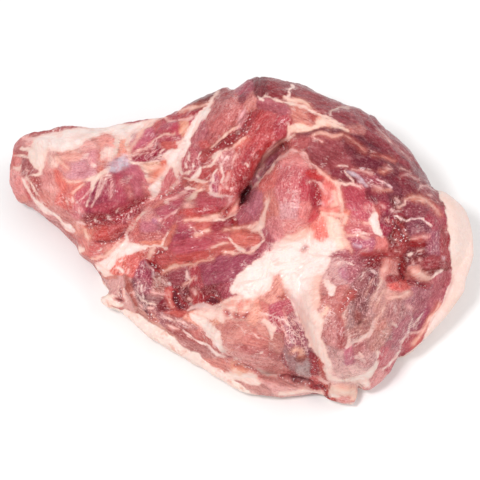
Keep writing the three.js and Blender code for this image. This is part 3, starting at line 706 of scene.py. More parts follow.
# colour, strokes: a, b and half width at each place
ARM_FAT = {
    "far band": (WHITE, [(-143, 69, 2.5), (-136, 68, 6), (-128, 70, 7.5), (-118, 72, 7), (-108, 74.5, 5.2),
        (-98, 77, 3.2), (-88, 77.5, 4), (-80, 76, 5.5), (-72, 81, 3.2), (-62, 84.5, 1.6), (-53, 86, 1)]),
    "band's fall": (CREAM, [(-140, 64, 6.5), (-141, 58, 5.8), (-140.5, 53, 3.6), (-140, 47, 1.2)]),
    "band's left": (CREAM, [(-153, 64.5, 0.8), (-148, 62.5, 2.2), (-144, 60, 4)]),
    "band's spur": (CREAM, [(-85, 71, 1.6), (-86, 65, 1.6), (-87.5, 60, 1.4), (-90, 56, 1)]),
    "band's second spur": (CREAM, [(-78, 71, 1.6), (-79, 65, 1), (-77.5, 59, 0.9)]),
    "far strip of the tip": (PINK_FAT, [(-151.5, 71.5, 0.8), (-147, 70.5, 1.3), (-142.5, 71.5, 0.8)]),
    "tip line": (CREAM, [(-158, 59, 0.7), (-152, 59.3, 0.7), (-147, 57, 1.2)]),
    "tip spot": ((240, 200, 190), [(-160, 51, 0.9), (-156, 50, 1.5), (-154, 53, 0.6)]),
    "in the dark cut": (PINK_FAT, [(-149, 50, 0.6), (-147, 49, 0.8)]),
    "under the dark cut": (CREAM, [(-147, 45, 0.9), (-143, 45, 1.2), (-140, 46, 1)]),
    "lower line": (WHITE, [(-154.5, 46, 0.7), (-151.5, 41, 1), (-149, 36, 1), (-146.5, 30, 1.2),
        (-142, 25.5, 1.6), (-136, 21, 1.7), (-130, 17.5, 1.3), (-125, 12.5, 1.6), (-121, 9, 2.6),
        (-116, 5, 1)]),
    "cut's line": (CREAM, [(-149, 44, 0.7), (-147, 39, 0.7), (-144, 34, 1), (-141.5, 31, 0.6)]),
    "upper flecks": (WHITE, [(-96.5, 66, 0.7), (-96, 57.5, 1.1)], [(-88, 69, 0.8), (-88.5, 61, 0.8)]),
    "between the flecks": ((250, 215, 208), [(-92, 64, 2), (-92, 60, 1.6)]),
    "white flecks": (WHITE, [(-112, 57, 0.9), (-107, 59, 0.8)], [(-104, 53, 0.7), (-100.5, 52, 1.1)]),
    "flecks' line": (PINK_FAT, [(-111, 60, 0.5), (-106, 56, 0.9), (-103, 52, 0.9)]),
    "orange line": (PEACH, [(-129, 57, 0.6), (-124, 53, 0.9), (-120.5, 50.5, 0.6)]),
    "under the pale-edged": (PEACH, [(-125, 44, 0.6), (-120, 41, 0.8), (-113, 41.5, 0.7), (-107, 43, 1)]),
    "knot": ((242, 214, 200), [(-108, 42, 1), (-102, 43, 2.4), (-97, 46, 1.8), (-94, 48, 1.4)]),
    "ray 1": (CREAM, [(-102, 42, 2), (-103.5, 38, 1.5), (-104, 33, 0.8), (-105, 27, 0.6), (-107, 22, 0.4)]),
    "ray 2": ((232, 190, 184), [(-95, 46, 0.8), (-97.5, 40, 0.5), (-99.5, 33, 0.4), (-101, 27, 0.4),
        (-103, 23, 0.1)]),
    "ray 3": (PEACH, [(-110, 39, 0.6), (-114, 35.5, 0.9), (-116.5, 33, 0.5)]),
    "ray 4": ((244, 204, 202), [(-106, 34, 0.6), (-109, 29, 0.7), (-115, 25, 0.5)]),
    "ray 5": ((232, 188, 188), [(-92, 46.5, 0.8), (-94.7, 40, 0.7), (-98, 33, 0.7), (-101, 27, 0.4)]),
    "ray 6": ((228, 172, 176), [(-90, 46.5, 0.7), (-89, 39, 0.7), (-91, 30, 0.9)]),
    # A painted highlight on the arm.
    "glint on the arm": (WHITE, [(-78.3, 43, 0.8), (-78.2, 42, 1)]),
    "spots by it": ((214, 150, 156), [(-83.5, 42, 0.6), (-82, 39, 0.7)]),
    # A painted highlight at the left end of the arm's film.
    "highlight at the film's end": (WHITE, [(-93, 48.5, 1.2), (-91.5, 51, 1.5)]),
    "film's right edge": (CREAM, [(-79, 58, 0.6), (-77, 56, 0.9), (-78, 53, 0.6)]),
    "pink foot's spots": ((246, 210, 208), [(-113.5, 21, 1), (-113, 18, 0.9)],
        [(-114, 12.5, 0.7), (-110, 11.5, 0.8)]),
    "salmon foot's spots": ((248, 206, 198), [(-122.5, 27, 0.8), (-121.5, 26.5, 0.6)],
        [(-118, 29.5, 0.9), (-117, 26.5, 0.7)]),
    # Painted highlights: sparkles of wet along the cut and on the arm, the ledge and the strip.
    "cut's sparkle": (WHITE, [(-101.5, 14, 0.6), (-100.5, 12, 0.9)], [(-104.5, 9.5, 0.8), (-103, 8.8, 0.6)],
        [(-92.5, 15.5, 0.7), (-91, 14.5, 0.5)], [(-73.5, 25.8, 0.7), (-72.5, 25, 0.6)],
        [(-94, 16.3, 0.5), (-93, 17.3, 0.8)], [(-87, 20.2, 0.7), (-86.2, 21.2, 0.8)],
        [(-78.2, 16.4, 0.9), (-78, 18, 0.5)], [(-76, 19.7, 0.8), (-75.4, 21, 0.5)],
        [(-89.5, 12.2, 0.5), (-88.5, 12.8, 0.8)]),
    "cut's sparkle, dim": ((238, 190, 186), [(-85, 22.5, 0.5), (-82, 22, 0.7)]),
    "arm's sparkle": (WHITE, [(-78.3, 41.6, 0.6), (-78, 43.2, 0.9)]),
    "ledge's sparkle": (WHITE, [(-99.2, -6.6, 0.8), (-98, -5.4, 0.6)]),
    "strip's sparkle": (WHITE, [(-52, 27.5, 0.7), (-51, 25.4, 0.9), (-50.3, 24.6, 0.5)]),
    "end of the cut's spots": (WHITE, [(-64, 30, 0.8), (-62, 27.8, 1)]),
    "left patch": (WHITE, [(-98, -19, 4), (-93, -16, 4), (-87, -10, 3.5), (-82, -6, 4.5), (-77, -5, 4.5),
        (-72, -5, 2.5), (-67, -6, 1)]),
    "left patch's foot": (CREAM, [(-97, -20, 3.5), (-94, -23, 2.5), (-92, -24, 1.5)]),
    "left patch's head": (WHITE, [(-83, -4, 2), (-80, 0, 1.6), (-80.5, 5, 0.7)]),
    "over the strips": (CREAM, [(-80.5, 5, 0.8), (-77, 9, 0.8), (-73, 13.5, 0.8), (-69, 18, 0.8),
        (-65, 20, 0.5)]),
    "scrap": (CREAM, [(-115, -5, 2), (-111, -7, 2)]),
    "lobe's rim": (PEACH, [(-103, -13.8, 0.9), (-95, -11, 1), (-88, -5, 1), (-84, 0, 0.8)]),
    "ledge's cream": ((245, 205, 186), [(-109, 7, 1), (-107.5, 3, 1.5), (-105.5, 0, 1)]),
    "lobe's spot": (WHITE, [(-100, -7, 0.9), (-98.5, -5.5, 0.6)]),
    "orange patch's spots": (WHITE, [(-84.5, -14, 0.7), (-83.5, -13, 0.9)],
        [(-85.5, -18.5, 1), (-83, -22, 1)]),
    "orange patch's spots, pink": (PINK_FAT, [(-79, -20, 0.8), (-79, -22, 0.9)]),
}
UPPER_FAT = {
    "over the fan": (PEACH, [(-77, 63, 0.9), (-73, 71, 0.9), (-68, 77, 0.9), (-60, 82.5, 0.8),
        (-52, 85, 0.7)]),
    "under the outline": (PINK_FAT, [(-52, 83.5, 0.6), (-46, 84, 0.7), (-38, 84, 0.9), (-34, 86, 0.9)]),
    "through the fan": ((240, 200, 188), [(-78, 56, 0.9), (-73, 60.5, 0.7), (-65, 65, 0.5), (-58, 69.5, 0.5),
        (-52, 73, 0.6), (-46, 74.5, 0.5)]),
    "fan hair": (PINK_FAT, [(-73, 58.5, 0.2), (-66, 62.5, 0.2), (-62, 65, 0.1)],
        [(-70, 59.5, 0.1), (-64, 61, 0.2), (-60, 63, 0.1)]),
    "fan hair, white": (WHITE, [(-61, 57.5, 0.5), (-57, 60, 0.7), (-52.5, 63, 0.6)],
        [(-58, 55.5, 0.5), (-54, 58.5, 0.8), (-50, 62, 0.6)]),
    "fan hair, lilac": ((250, 214, 216), [(-59, 66, 0.3), (-57, 69.5, 0.5)]),
    "fan's foot": (CREAM, [(-78, 53.5, 1), (-70, 53.5, 0.9), (-62, 54.5, 0.7), (-57, 56, 0.7)]),
    "orange fan": ((240, 140, 112), [(-64, 42.5, 0.8), (-60, 44.5, 1.4), (-55, 48.5, 1.4), (-51, 53, 0.8)]),
    "cream in it": (CREAM, [(-69, 51.5, 0.7), (-66.5, 47.5, 1.3), (-66, 44.5, 1.4), (-64, 42, 0.7)]),
    "peach in it": (PEACH, [(-66, 50.5, 0.6), (-60, 50, 0.7), (-56, 52, 0.6)]),
    "white fan": (WHITE, [(-60.5, 30, 1), (-60, 35, 4.2), (-57.5, 40, 3), (-54.5, 45, 1.6), (-51, 50.5, 1.3),
        (-48, 56.5, 3.6), (-45, 60, 4), (-42.5, 66, 2.6), (-39, 69, 2.4)]),
    "white fan's left": (WHITE, [(-47, 60.5, 3), (-52, 59, 1.4), (-54, 57, 0.7)]),
    "right of the inner": (CREAM, [(-46, 54, 2), (-44.5, 48, 1.8), (-44.5, 42, 1.2), (-47, 36, 1),
        (-50, 32, 0.7)]),
    "right of the inner, greyer": ((234, 212, 206), [(-42.5, 58, 1.8), (-42, 52, 1.4), (-41, 46, 0.9),
        (-42, 40, 0.6)]),
    "seam": (WHITE, [(-15.5, 103, 0.7), (-18.5, 98, 1.3), (-22, 93, 2.4), (-26, 87.5, 3), (-30.5, 82, 3.6),
        (-34, 77, 3.2), (-36, 72, 3), (-38.5, 67, 2.6), (-40, 63, 1.6), (-40.5, 59, 0.8)]),
    "seam's root": ((228, 198, 188), [(-14, 103.5, 0.9), (-17, 100.5, 1.4)]),
    "seam's branch": (PEACH, [(-19, 96.5, 0.9), (-25, 95, 0.7), (-31, 93.7, 0.6), (-37, 92.3, 0.8),
        (-43, 90.5, 0.6)]),
    "seam's orange side": ((244, 182, 156), [(-37, 81, 1), (-39, 77.5, 1), (-41, 75, 0.6)]),
    "seam's left branch": (CREAM, [(-38, 70, 2), (-42, 69.5, 1), (-45, 68.5, 0.7)]),
    "network": (CREAM, [(-40, 46.5, 0.9), (-36, 47.5, 0.7), (-34, 49, 0.7)],
        [(-39, 43.5, 0.7), (-33, 43, 0.8), (-28, 41.3, 0.8), (-24, 40.5, 0.8), (-21, 42, 0.7),
        (-18.5, 46, 0.8), (-16, 50, 0.7)],
        [(-27, 49.5, 0.7), (-21, 52, 0.9), (-18.5, 55, 1.2), (-16.5, 58.5, 1.6)]),
    "network, white": (WHITE, [(-33, 44, 1.5), (-30, 46, 1.7), (-29, 49, 1.2)],
        [(-38, 35.5, 1.2), (-34, 36, 1), (-31, 35.5, 1.1)],
        [(-20.5, 38, 0.8), (-20, 34, 1.3), (-16.5, 33.3, 1.2)], [(-19, 45, 0.7), (-19, 41, 1)],
        [(-13, 41, 0.9), (-12, 45, 0.8), (-13.5, 51, 1)],
        [(-36.5, 62, 0.5), (-36, 58, 0.7), (-35.5, 55, 0.5)], [(-37.5, 53, 0.6), (-36.5, 51.2, 0.9)],
        [(-33.5, 53.5, 0.7), (-33, 52, 0.8)], [(-30, 57, 0.8), (-28, 61, 0.8)],
        [(-6.5, 37, 0.7), (-6, 35.5, 0.9)], [(4.5, 53.5, 0.7), (5, 52, 0.7)]),
    "network, pink": (PINK_FAT, [(-13.5, 38, 0.6), (-14, 34, 0.9)], [(-9, 48, 0.7), (-9.5, 43, 0.8)],
        [(-10, 38.5, 0.9), (-9.5, 37.5, 0.6)], [(-5, 54, 0.5), (-3, 58, 0.6), (-2, 61, 0.5)]),
    "network, lilac": ((240, 206, 206), [(-13.5, 53, 0.8), (-11, 56, 0.8), (-8, 58.5, 0.7)],
        [(-13, 60, 1), (-12.5, 57, 0.8)]),
    # A painted highlight by the bone's hollow.
    "highlight by the hollow": ((238, 216, 212), [(7.8, 39, 0.9), (8, 36.5, 1.2)]),
    "groove's far edge": ((245, 214, 198), [(-21, 65, 0.6), (-17, 68, 0.7), (-12, 73, 0.8), (-9, 75.5, 0.9),
        (-5, 77.5, 0.7), (0, 79.5, 0.4)]),
    "groove's spots": (WHITE, [(-1, 75.2, 0.7), (0.3, 75.8, 0.8)]),
    "groove's near edge": ((236, 204, 192), [(-20, 57, 1), (-16, 59.5, 2), (-12, 62, 0.9), (-6, 64.5, 0.6)]),
    "groove's near edge, right": (PEACH, [(-4, 65, 0.6), (0, 69, 0.8), (3, 72.5, 0.5)]),
    "crest glint": (WHITE, [(13, 100.5, 0.6), (15.5, 97.5, 0.9)]),
    "crest squiggle": (WHITE, [(37, 108, 1), (34, 105, 0.7), (35, 102, 0.8), (33, 100, 1)]),
    "grey on the outline": ((200, 182, 186), [(-7, 105.5, 0.9), (-4.5, 105.5, 1.2)]),
    "cream line": (CREAM, [(16, 100.5, 0.7), (24, 98.5, 0.9), (30, 97, 0.9), (38, 94.5, 1), (45, 92, 0.9),
        (50, 89.5, 0.9), (55, 87, 0.9), (60, 85.5, 0.9), (64, 84, 0.9), (70, 80.5, 0.7)]),
    "pale band above it": ((242, 200, 182), [(31, 100, 0.8), (38, 98, 1.7), (44, 96, 1.7), (49, 93, 1)]),
}
BALL_AND_CREST_FAT = {
    "shoulder's foot": ((248, 210, 192), [(36, 78, 2.2), (42, 78.5, 3), (48, 78.5, 2.4), (53, 80, 1.6)]),
    "cream patch": ((236, 204, 188), [(54, 82.5, 2), (58, 82.5, 2.8), (62, 82, 2.2), (66, 80.5, 1.4),
        (71, 78, 1), (75, 75.8, 0.6)]),
    "orange spots": ((240, 156, 128), [(55, 85, 0.8), (55.5, 84, 0.6)], [(62, 81, 0.7), (63, 81, 0.8)]),
    "shoulder's edge": (CREAM, [(33, 82, 0.6), (35.5, 76.5, 1), (34, 73, 0.9)]),
    "hollow's far rim": ((206, 162, 152), [(38, 74, 1), (33, 70.5, 1.4), (28, 67, 1.6), (23, 62.5, 1.5),
        (18, 57, 1.1), (14, 50, 0.7), (11, 44, 0.4)]),
    "under the dark strip": ((232, 178, 164), [(50, 73.5, 0.7), (55, 75, 0.8), (63, 74.5, 0.7),
        (70, 73, 0.5)]),
    "hook": (PINK_FAT, [(51, 71, 0.6), (54, 70, 0.6), (57, 69, 0.6)]),
    "orange line": ((200, 118, 106), [(73, 72, 0.3), (80, 67, 0.3), (88, 62, 0.2)],
        [(93, 60, 0.2), (100, 58.5, 0.3), (108, 56, 0.2)]),
    "orange fleck": ((216, 138, 118), [(98, 48.3, 0.2), (101, 48.3, 0.6), (104, 49.3, 0.3)]),
    "pale flecks": ((206, 158, 156), [(101, 50.5, 0.4), (105, 50, 0.5)],
        [(111, 50.3, 0.4), (115, 49.3, 0.6), (118, 48, 0.4)]),
    "pale flecks, near": ((200, 146, 148), [(113, 45.2, 0.5), (117, 45, 0.5)]),
    "round one's edge": (GREY_FAT, [(64, 87, 0.5), (65, 91, 0.6), (70, 93.5, 0.7), (77, 93.5, 0.6)]),
    "crest fleck": ((226, 182, 178), [(68, 52.4, 0.6), (71, 52, 0.9), (73.5, 51.5, 0.6)]),
    "far hairs": ((176, 122, 126), [(97, 77, 0.3), (105, 70, 0.5), (113, 63, 0.5), (119, 57.5, 0.4)]),
    "right hair": ((194, 138, 142), [(117, 44.5, 0.4), (122, 43, 0.5), (126, 41.5, 0.4)]),
    "under the film": (WHITE, [(71.7, 48, 0.7), (74, 45.3, 0.8), (77, 42.5, 0.7), (79, 40.3, 0.6)]),
    "under the film, foot": ((238, 200, 194), [(69, 35.5, 0.7), (69.5, 38.7, 1), (73, 38, 1),
        (76, 38.7, 0.6)]),
    "under the film, right": (PINK_FAT, [(75, 38.7, 0.6), (79.5, 38.3, 0.8), (84, 36.8, 0.5)]),
    "over the film": ((214, 154, 154), [(78, 48.6, 0.5), (84, 48.4, 0.6), (89, 47.7, 0.7), (92, 46.6, 0.8)]),
    "film's tail": ((234, 200, 206), [(96, 43.5, 0.4), (100, 41.2, 0.6), (103, 39, 0.8), (105.7, 37, 0.9)]),
    "film's foot": ((222, 172, 170), [(94.5, 38.5, 0.7), (96, 37.5, 0.9), (99, 36.5, 0.7)]),
    "film's foot, brown": ((192, 112, 94), [(95, 35.3, 0.5), (105, 35, 0.5)]),
    "ball's rim": (PINK_FAT, [(25, 55, 0.5), (29, 58, 0.6), (33, 61.5, 1.2), (38, 62.8, 0.9),
        (43, 61.5, 0.5), (47, 58.5, 0.4), (50, 54.5, 0.4), (53, 51.5, 0.9), (55.5, 48, 1.5)]),
    "ball's second rim": (PINK_FAT, [(40, 62, 0.4), (44, 59, 0.4), (47, 54.5, 0.4), (50, 51.5, 0.2)]),
    "ball's left rim": (CREAM, [(24.5, 55, 0.6), (23, 52, 0.7), (20, 47.5, 0.6), (15, 43.5, 0.9),
        (12, 39.5, 0.9), (9, 36, 0.7)]),
    "ball's lower left rim": ((244, 214, 202), [(19, 31, 0.3), (18, 25, 0.8), (17, 19, 1.4), (15, 13, 2.2),
        (12, 8, 2.4), (8, 6, 1.4)]),
    "glint in the hollow": ((190, 164, 168), [(11.5, 45, 0.8), (13, 42.5, 0.9)]),
    "film by the cleft": (PINK_FAT, [(49, 40.3, 0.5), (53, 40.6, 0.6), (57, 40, 0.7), (58, 36, 1),
        (60, 32, 1)]),
    "cleft's edge": (PEACH, [(55, 48.5, 1), (60, 45.5, 1.2), (65, 42, 1.4), (68, 38, 1.5), (69.5, 32, 1.5),
        (71, 26, 1.5), (71.5, 21, 1.2)]),
    "inner cleft": (PEACH, [(66, 33, 1.2), (67, 26, 1.6), (63, 24, 1)]),
    "cleft's pink lump": ((255, 198, 198), [(62.5, 26.5, 0.5), (65, 29, 0.9), (64, 33, 0.4)]),
    "cleft's lilac lump": ((226, 170, 178), [(55.5, 25, 0.6), (57.5, 25.5, 0.9), (59, 23.5, 0.4)]),
    "cleft's red threads": ((214, 70, 82), [(58, 35, 0.2), (60, 32.5, 0.5), (61.5, 31, 0.2)]),
    "cleft's red threads, bright": ((228, 84, 88), [(59, 26.5, 0.2), (61.5, 24, 0.4), (60.5, 21.5, 0.2)],
        [(62.5, 38, 0.2), (61, 36.5, 0.4), (62.5, 34.5, 0.2)]),
    "red threads under the cleft": ((236, 104, 92), [(52, 2, 0.2), (51.8, 5, 0.4), (53, 9, 0.2)],
        [(57, 13, 0.2), (59, 8, 0.4), (58.5, 3, 0.2)]),
    # Painted highlights: the ball's shine, laid on as pale strokes.
    "ball's shine": ((252, 208, 214), [(33, 28.2, 0.1), (36.5, 28.8, 0.6), (40, 28.2, 0.1)],
        [(32, 25.4, 0.1), (36, 26, 0.7), (41, 25, 0.2)],
        [(34, 22.8, 0.2), (38.5, 22.8, 0.6), (42, 22, 0.1)]),
    "ball's shine, far": ((250, 200, 206), [(35, 33.5, 0.1), (38.5, 34.5, 0.5), (42, 34, 0.1)]),
}
FAT_SHEET = {
    "head": ((250, 214, 196), [(58, 17, 1), (63, 14, 4), (66, 10, 5.5), (68, 4, 6), (70, -3, 4)]),
    "over the cleft": (PEACH, [(58, 18, 1.4), (64, 18.5, 1.6), (71, 17, 2)]),
    "head's right": (PEACH, [(74, 17, 1), (73, 12, 2)]),
    "head's spot": ((242, 134, 108), [(70.3, 10, 0.9), (69.8, 8.5, 0.6)]),
    "upper": (WHITE, [(48, -4, 6), (56, -7, 7), (64, -4, 6)]),
    "top edge": (PEACH, [(29, -3, 3), (36, -1, 4.6), (42, 2, 5), (47, 3, 4.6)]),
    "top edge's fleck": ((244, 156, 128), [(47, 6, 0.8)]),
    "under the ball": (WHITE, [(44, -4, 9), (30, -8, 8.5), (22, -17, 9), (10, -24, 8), (4, -29, 8),
        (-3, -35, 3.5)]),
    "middle": (WHITE, [(50, -14, 11), (44, -24, 10), (44, -34, 8)]),
    "middle's left": (WHITE, [(30, -14, 7), (36, -24, 8), (39, -34, 7), (42, -44, 6.5)]),
    "ridge": (CREAM, [(45, -40, 8), (47, -50, 8), (50.5, -57, 7.6), (52, -65, 6), (53, -72, 4.6),
        (56.5, -79, 3.2), (60.5, -86, 2.2), (62, -93, 1.8), (63, -98, 1.4)]),
    "left foot": (WHITE, [(-3, -35, 4), (6, -37, 5), (17, -30, 6)]),
    "beside the knob": (PEACH, [(53, -27, 3.4), (52, -38, 3.2), (53, -46, 3)]),
    "white by the knob": (WHITE, [(60, -28, 1.6), (64.5, -33, 3), (63, -37, 2)]),
    "to the shoulder": (PEACH, [(72, 4, 3), (74, -4, 2), (78, -8, 0.8)]),
    "golden in it": ((252, 218, 190), [(58, -52, 1.4), (61, -48, 1.2)]),
}
RIGHT_FAT = {
    "shoulder patch": (WHITE, [(94.5, 18, 1.6), (93, 13.5, 3.4), (94.5, 8.5, 2), (98, 5, 2), (100, 2, 1)]),
    "patch's tail": (PEACH, [(90, 12, 1.2), (87, 12.5, 0.9)]),
    "shoulder's flecks": ((226, 158, 162), [(87.5, 22.8, 0.6), (88.5, 21.5, 0.8)]),
    "shoulder's flecks, middle": ((234, 168, 164), [(93.5, 22, 0.6), (94, 20, 0.8)]),
    "shoulder's flecks, right": ((220, 150, 156), [(99, 24.5, 0.7), (99.7, 23.2, 0.8)]),
    # The line on the oval is a painted highlight.
    "line on the oval": (WHITE, [(80, 5, 0.6), (86, 5.3, 0.9), (90, 4.5, 0.5)]),
    "line on the oval, long": ((244, 192, 180), [(71, 3, 0.9), (80, 3, 0.7), (90, 2, 0.5)]),
    "under the oval": (PINK_FAT, [(85, -7.5, 0.6), (88, -7, 0.8), (90, -6, 0.5)]),
    "arch": ((228, 172, 158), [(111, 22, 0.6), (114.5, 24.5, 0.8), (115.5, 28, 0.6), (119, 30.2, 0.5),
        (124, 30, 0.6), (129, 28, 0.5), (133, 25, 0.6), (137, 21.5, 0.7), (141, 18, 0.5)]),
    "arch's white": (WHITE, [(112.5, 23, 0.7), (115, 24.5, 0.8), (115.5, 26.5, 0.6)]),
    "arch's orange": ((222, 142, 112), [(120, 29, 0.5), (126, 28.2, 0.7), (130, 26.5, 0.4)]),
    "left of the arch": ((204, 158, 160), [(108.5, 29, 0.3), (110.5, 26, 0.6), (109, 23, 0.2)]),
    "zigzag": ((244, 220, 218), [(107.5, 16.3, 0.8), (110, 16.8, 0.9), (113.5, 14.5, 0.8), (117, 12.5, 0.9),
        (120.5, 14.5, 0.9), (124.5, 15, 0.9), (127.5, 14.5, 0.8), (129.5, 12, 0.8), (133, 10.3, 0.9)]),
    "zigzag's start": ((224, 180, 182), [(105.5, 21.5, 0.7), (106.5, 19.5, 0.8)]),
    "by the outline": ((224, 176, 176), [(124.5, 34.5, 0.2), (127, 37, 0.4), (133, 37, 0.3),
        (137, 34.5, 0.2)], [(132, 31, 0.3), (134, 31, 0.3)]),
    "streak": ((224, 146, 144), [(119.5, 1.8, 0.6), (125, 2.3, 1), (130, 2.5, 0.8)]),
    "streak's spot": (WHITE, [(118.5, 1.6, 0.4), (119, 1, 0.4)]),
    "blood's flecks": ((236, 190, 188), [(109.5, 0.4, 0.4), (110.3, 0.2, 0.3)]),
    "blood's flecks, right": ((226, 170, 172), [(116, 5.7, 0.3), (117, 5.2, 0.4)]),
    "blood's flecks, far": ((214, 140, 146), [(103, 14, 0.5), (104.5, 13, 0.5)]),
    "blood's flecks, near": ((230, 180, 182), [(108, -7.5, 0.4), (111, -8.7, 0.4)]),
    "white spot": ((242, 216, 208), [(117.5, -10.5, 1), (120.5, -10, 1.1)]),
    "lower flecks": ((228, 178, 176), [(121, -14, 0.7), (122, -15.7, 0.9)],
        [(126, -14.5, 0.8), (127, -15.5, 0.7)]),
    "lower flecks, far": ((214, 160, 160), [(125, -8, 0.8), (127, -7.5, 0.7)]),
    "pale patch": ((232, 176, 164), [(119, -24, 1), (122, -22, 2.8), (126, -24.5, 2.2), (131, -26.5, 1.6),
        (134, -27, 1)]),
    "pale patch's line": (WHITE, [(134.5, -26.8, 0.6), (138, -24, 0.8), (141.3, -21.3, 0.6)]),
    "socket tissue": ((242, 182, 172), [(103, -14.5, 1.2), (102.5, -18, 1.8), (101.5, -22, 1)]),
    "right fleck": ((214, 162, 178), [(142.5, -11, 0.8), (143, -13.5, 1)]),
}
KNOB_FAT = {
    "head's line": (WHITE, [(66.5, -20, 0.5), (68, -18, 0.7), (70.5, -15.5, 0.6)],
        [(74.5, -15.8, 0.5), (77, -16.5, 0.7), (80.5, -17.5, 0.5)]),
    "over the streaked": ((230, 204, 202), [(84, -28, 0.3), (85.5, -24, 0.5), (88, -21.5, 0.3)]),
    "on the streaked": ((214, 188, 190), [(91, -20, 0.7), (94, -21.5, 1.3), (96.5, -23.5, 0.7)]),
    "pale run": ((226, 190, 178), [(98.5, -25, 0.5), (99, -30, 0.8), (97, -35, 0.6), (94, -40, 0.5),
        (91, -46, 0.2)]),
    "pale run, near": ((222, 180, 168), [(101, -36, 0.5), (98, -41, 0.4), (94, -49, 0.3)],
        [(104, -42, 0.3), (99, -49, 0.5), (96, -56, 0.4), (95, -62, 0.3)]),
    "pale run, left": ((214, 168, 160), [(94, -27, 0.3), (91, -33, 0.3), (87, -38, 0.3)]),
    "swirl": ((230, 196, 190), [(95, -57, 0.7), (93.5, -62, 1.1), (89.5, -67.5, 1.5), (83.5, -71, 1.4),
        (77, -73, 1), (74, -76, 0.6)]),
    "swirl's left": ((218, 182, 178), [(76, -63, 0.5), (77, -68, 1), (76, -73, 0.8)]),
    "swirl's inner": ((216, 176, 168), [(88, -57, 0.3), (85, -60, 0.3), (84.5, -64, 0.2)]),
    "beside the grey": ((226, 182, 172), [(74, -49, 0.5), (72, -54, 0.5), (73.5, -59, 0.4)]),
    "oval's flecks": ((230, 198, 194), [(84, -79, 0.6), (86, -82, 0.8)],
        [(87, -84.5, 0.9), (80.5, -82, 0.6)]),
    "oval's left": (CREAM, [(61, -88, 1), (60.5, -92, 1.6), (63, -96, 1.8)]),
    "bottom rim": ((243, 222, 212), [(63, -97, 1.6), (72, -98.5, 1.4), (80, -98, 2), (86, -97, 3.4),
        (91, -94, 3), (94.5, -89, 2), (96.5, -84, 1.2), (97, -79, 0.7)]),
    "bottom rim's foot": (WHITE, [(84, -101, 2), (89, -101, 2.8)]),
    "tab": ((242, 204, 186), [(66, -106, 3), (72, -106, 4), (79, -106, 3.8), (79.5, -111, 1.8)]),
    "tab's top": ((242, 160, 136), [(70, -103, 0.7), (75, -102.5, 1), (80, -101.5, 0.8)]),
    "cut on the knob": ((176, 72, 62), [(70.5, -50, 0.3), (73.5, -45, 0.6), (76, -41, 0.7),
        (79, -37.5, 0.5)]),
    "tab's edge": ((232, 216, 208), [(63, -108.5, 2.4), (70, -110.5, 1.4)]),
    "white line": (WHITE, [(119.5, -54, 0.6), (118.8, -60, 0.8), (117.3, -65.5, 0.8), (114, -71, 0.7),
        (112, -76, 0.8), (109, -82, 0.9), (105, -87, 0.8), (101, -92, 0.6)]),
    "outer flecks": (PINK_FAT, [(117.5, -46.5, 0.6), (120, -48, 0.8)],
        [(120, -65, 0.7), (125, -65, 0.7), (127, -63, 0.5)]),
    "outer flecks, white": (WHITE, [(127.5, -51.5, 0.6), (124, -56, 0.8), (122, -60, 0.5)]),
    "rind's inner line": ((240, 178, 158), [(139, -46, 1), (133, -56, 1.1), (127, -65.5, 1.1),
        (121, -73, 0.8)]),
    "cut's flecks": ((236, 186, 174), [(106, -40, 0.6), (112, -40.5, 0.8), (118, -37, 0.6)]),
    "right side's marks": ((232, 206, 198), [(101, -63.5, 0.7), (100.5, -65, 0.8)],
        [(106, -69, 0.7), (106.8, -70.3, 0.8)]),
    "right side's marks, far": ((228, 196, 190), [(110, -61, 0.8), (108, -58, 0.7)]),
}
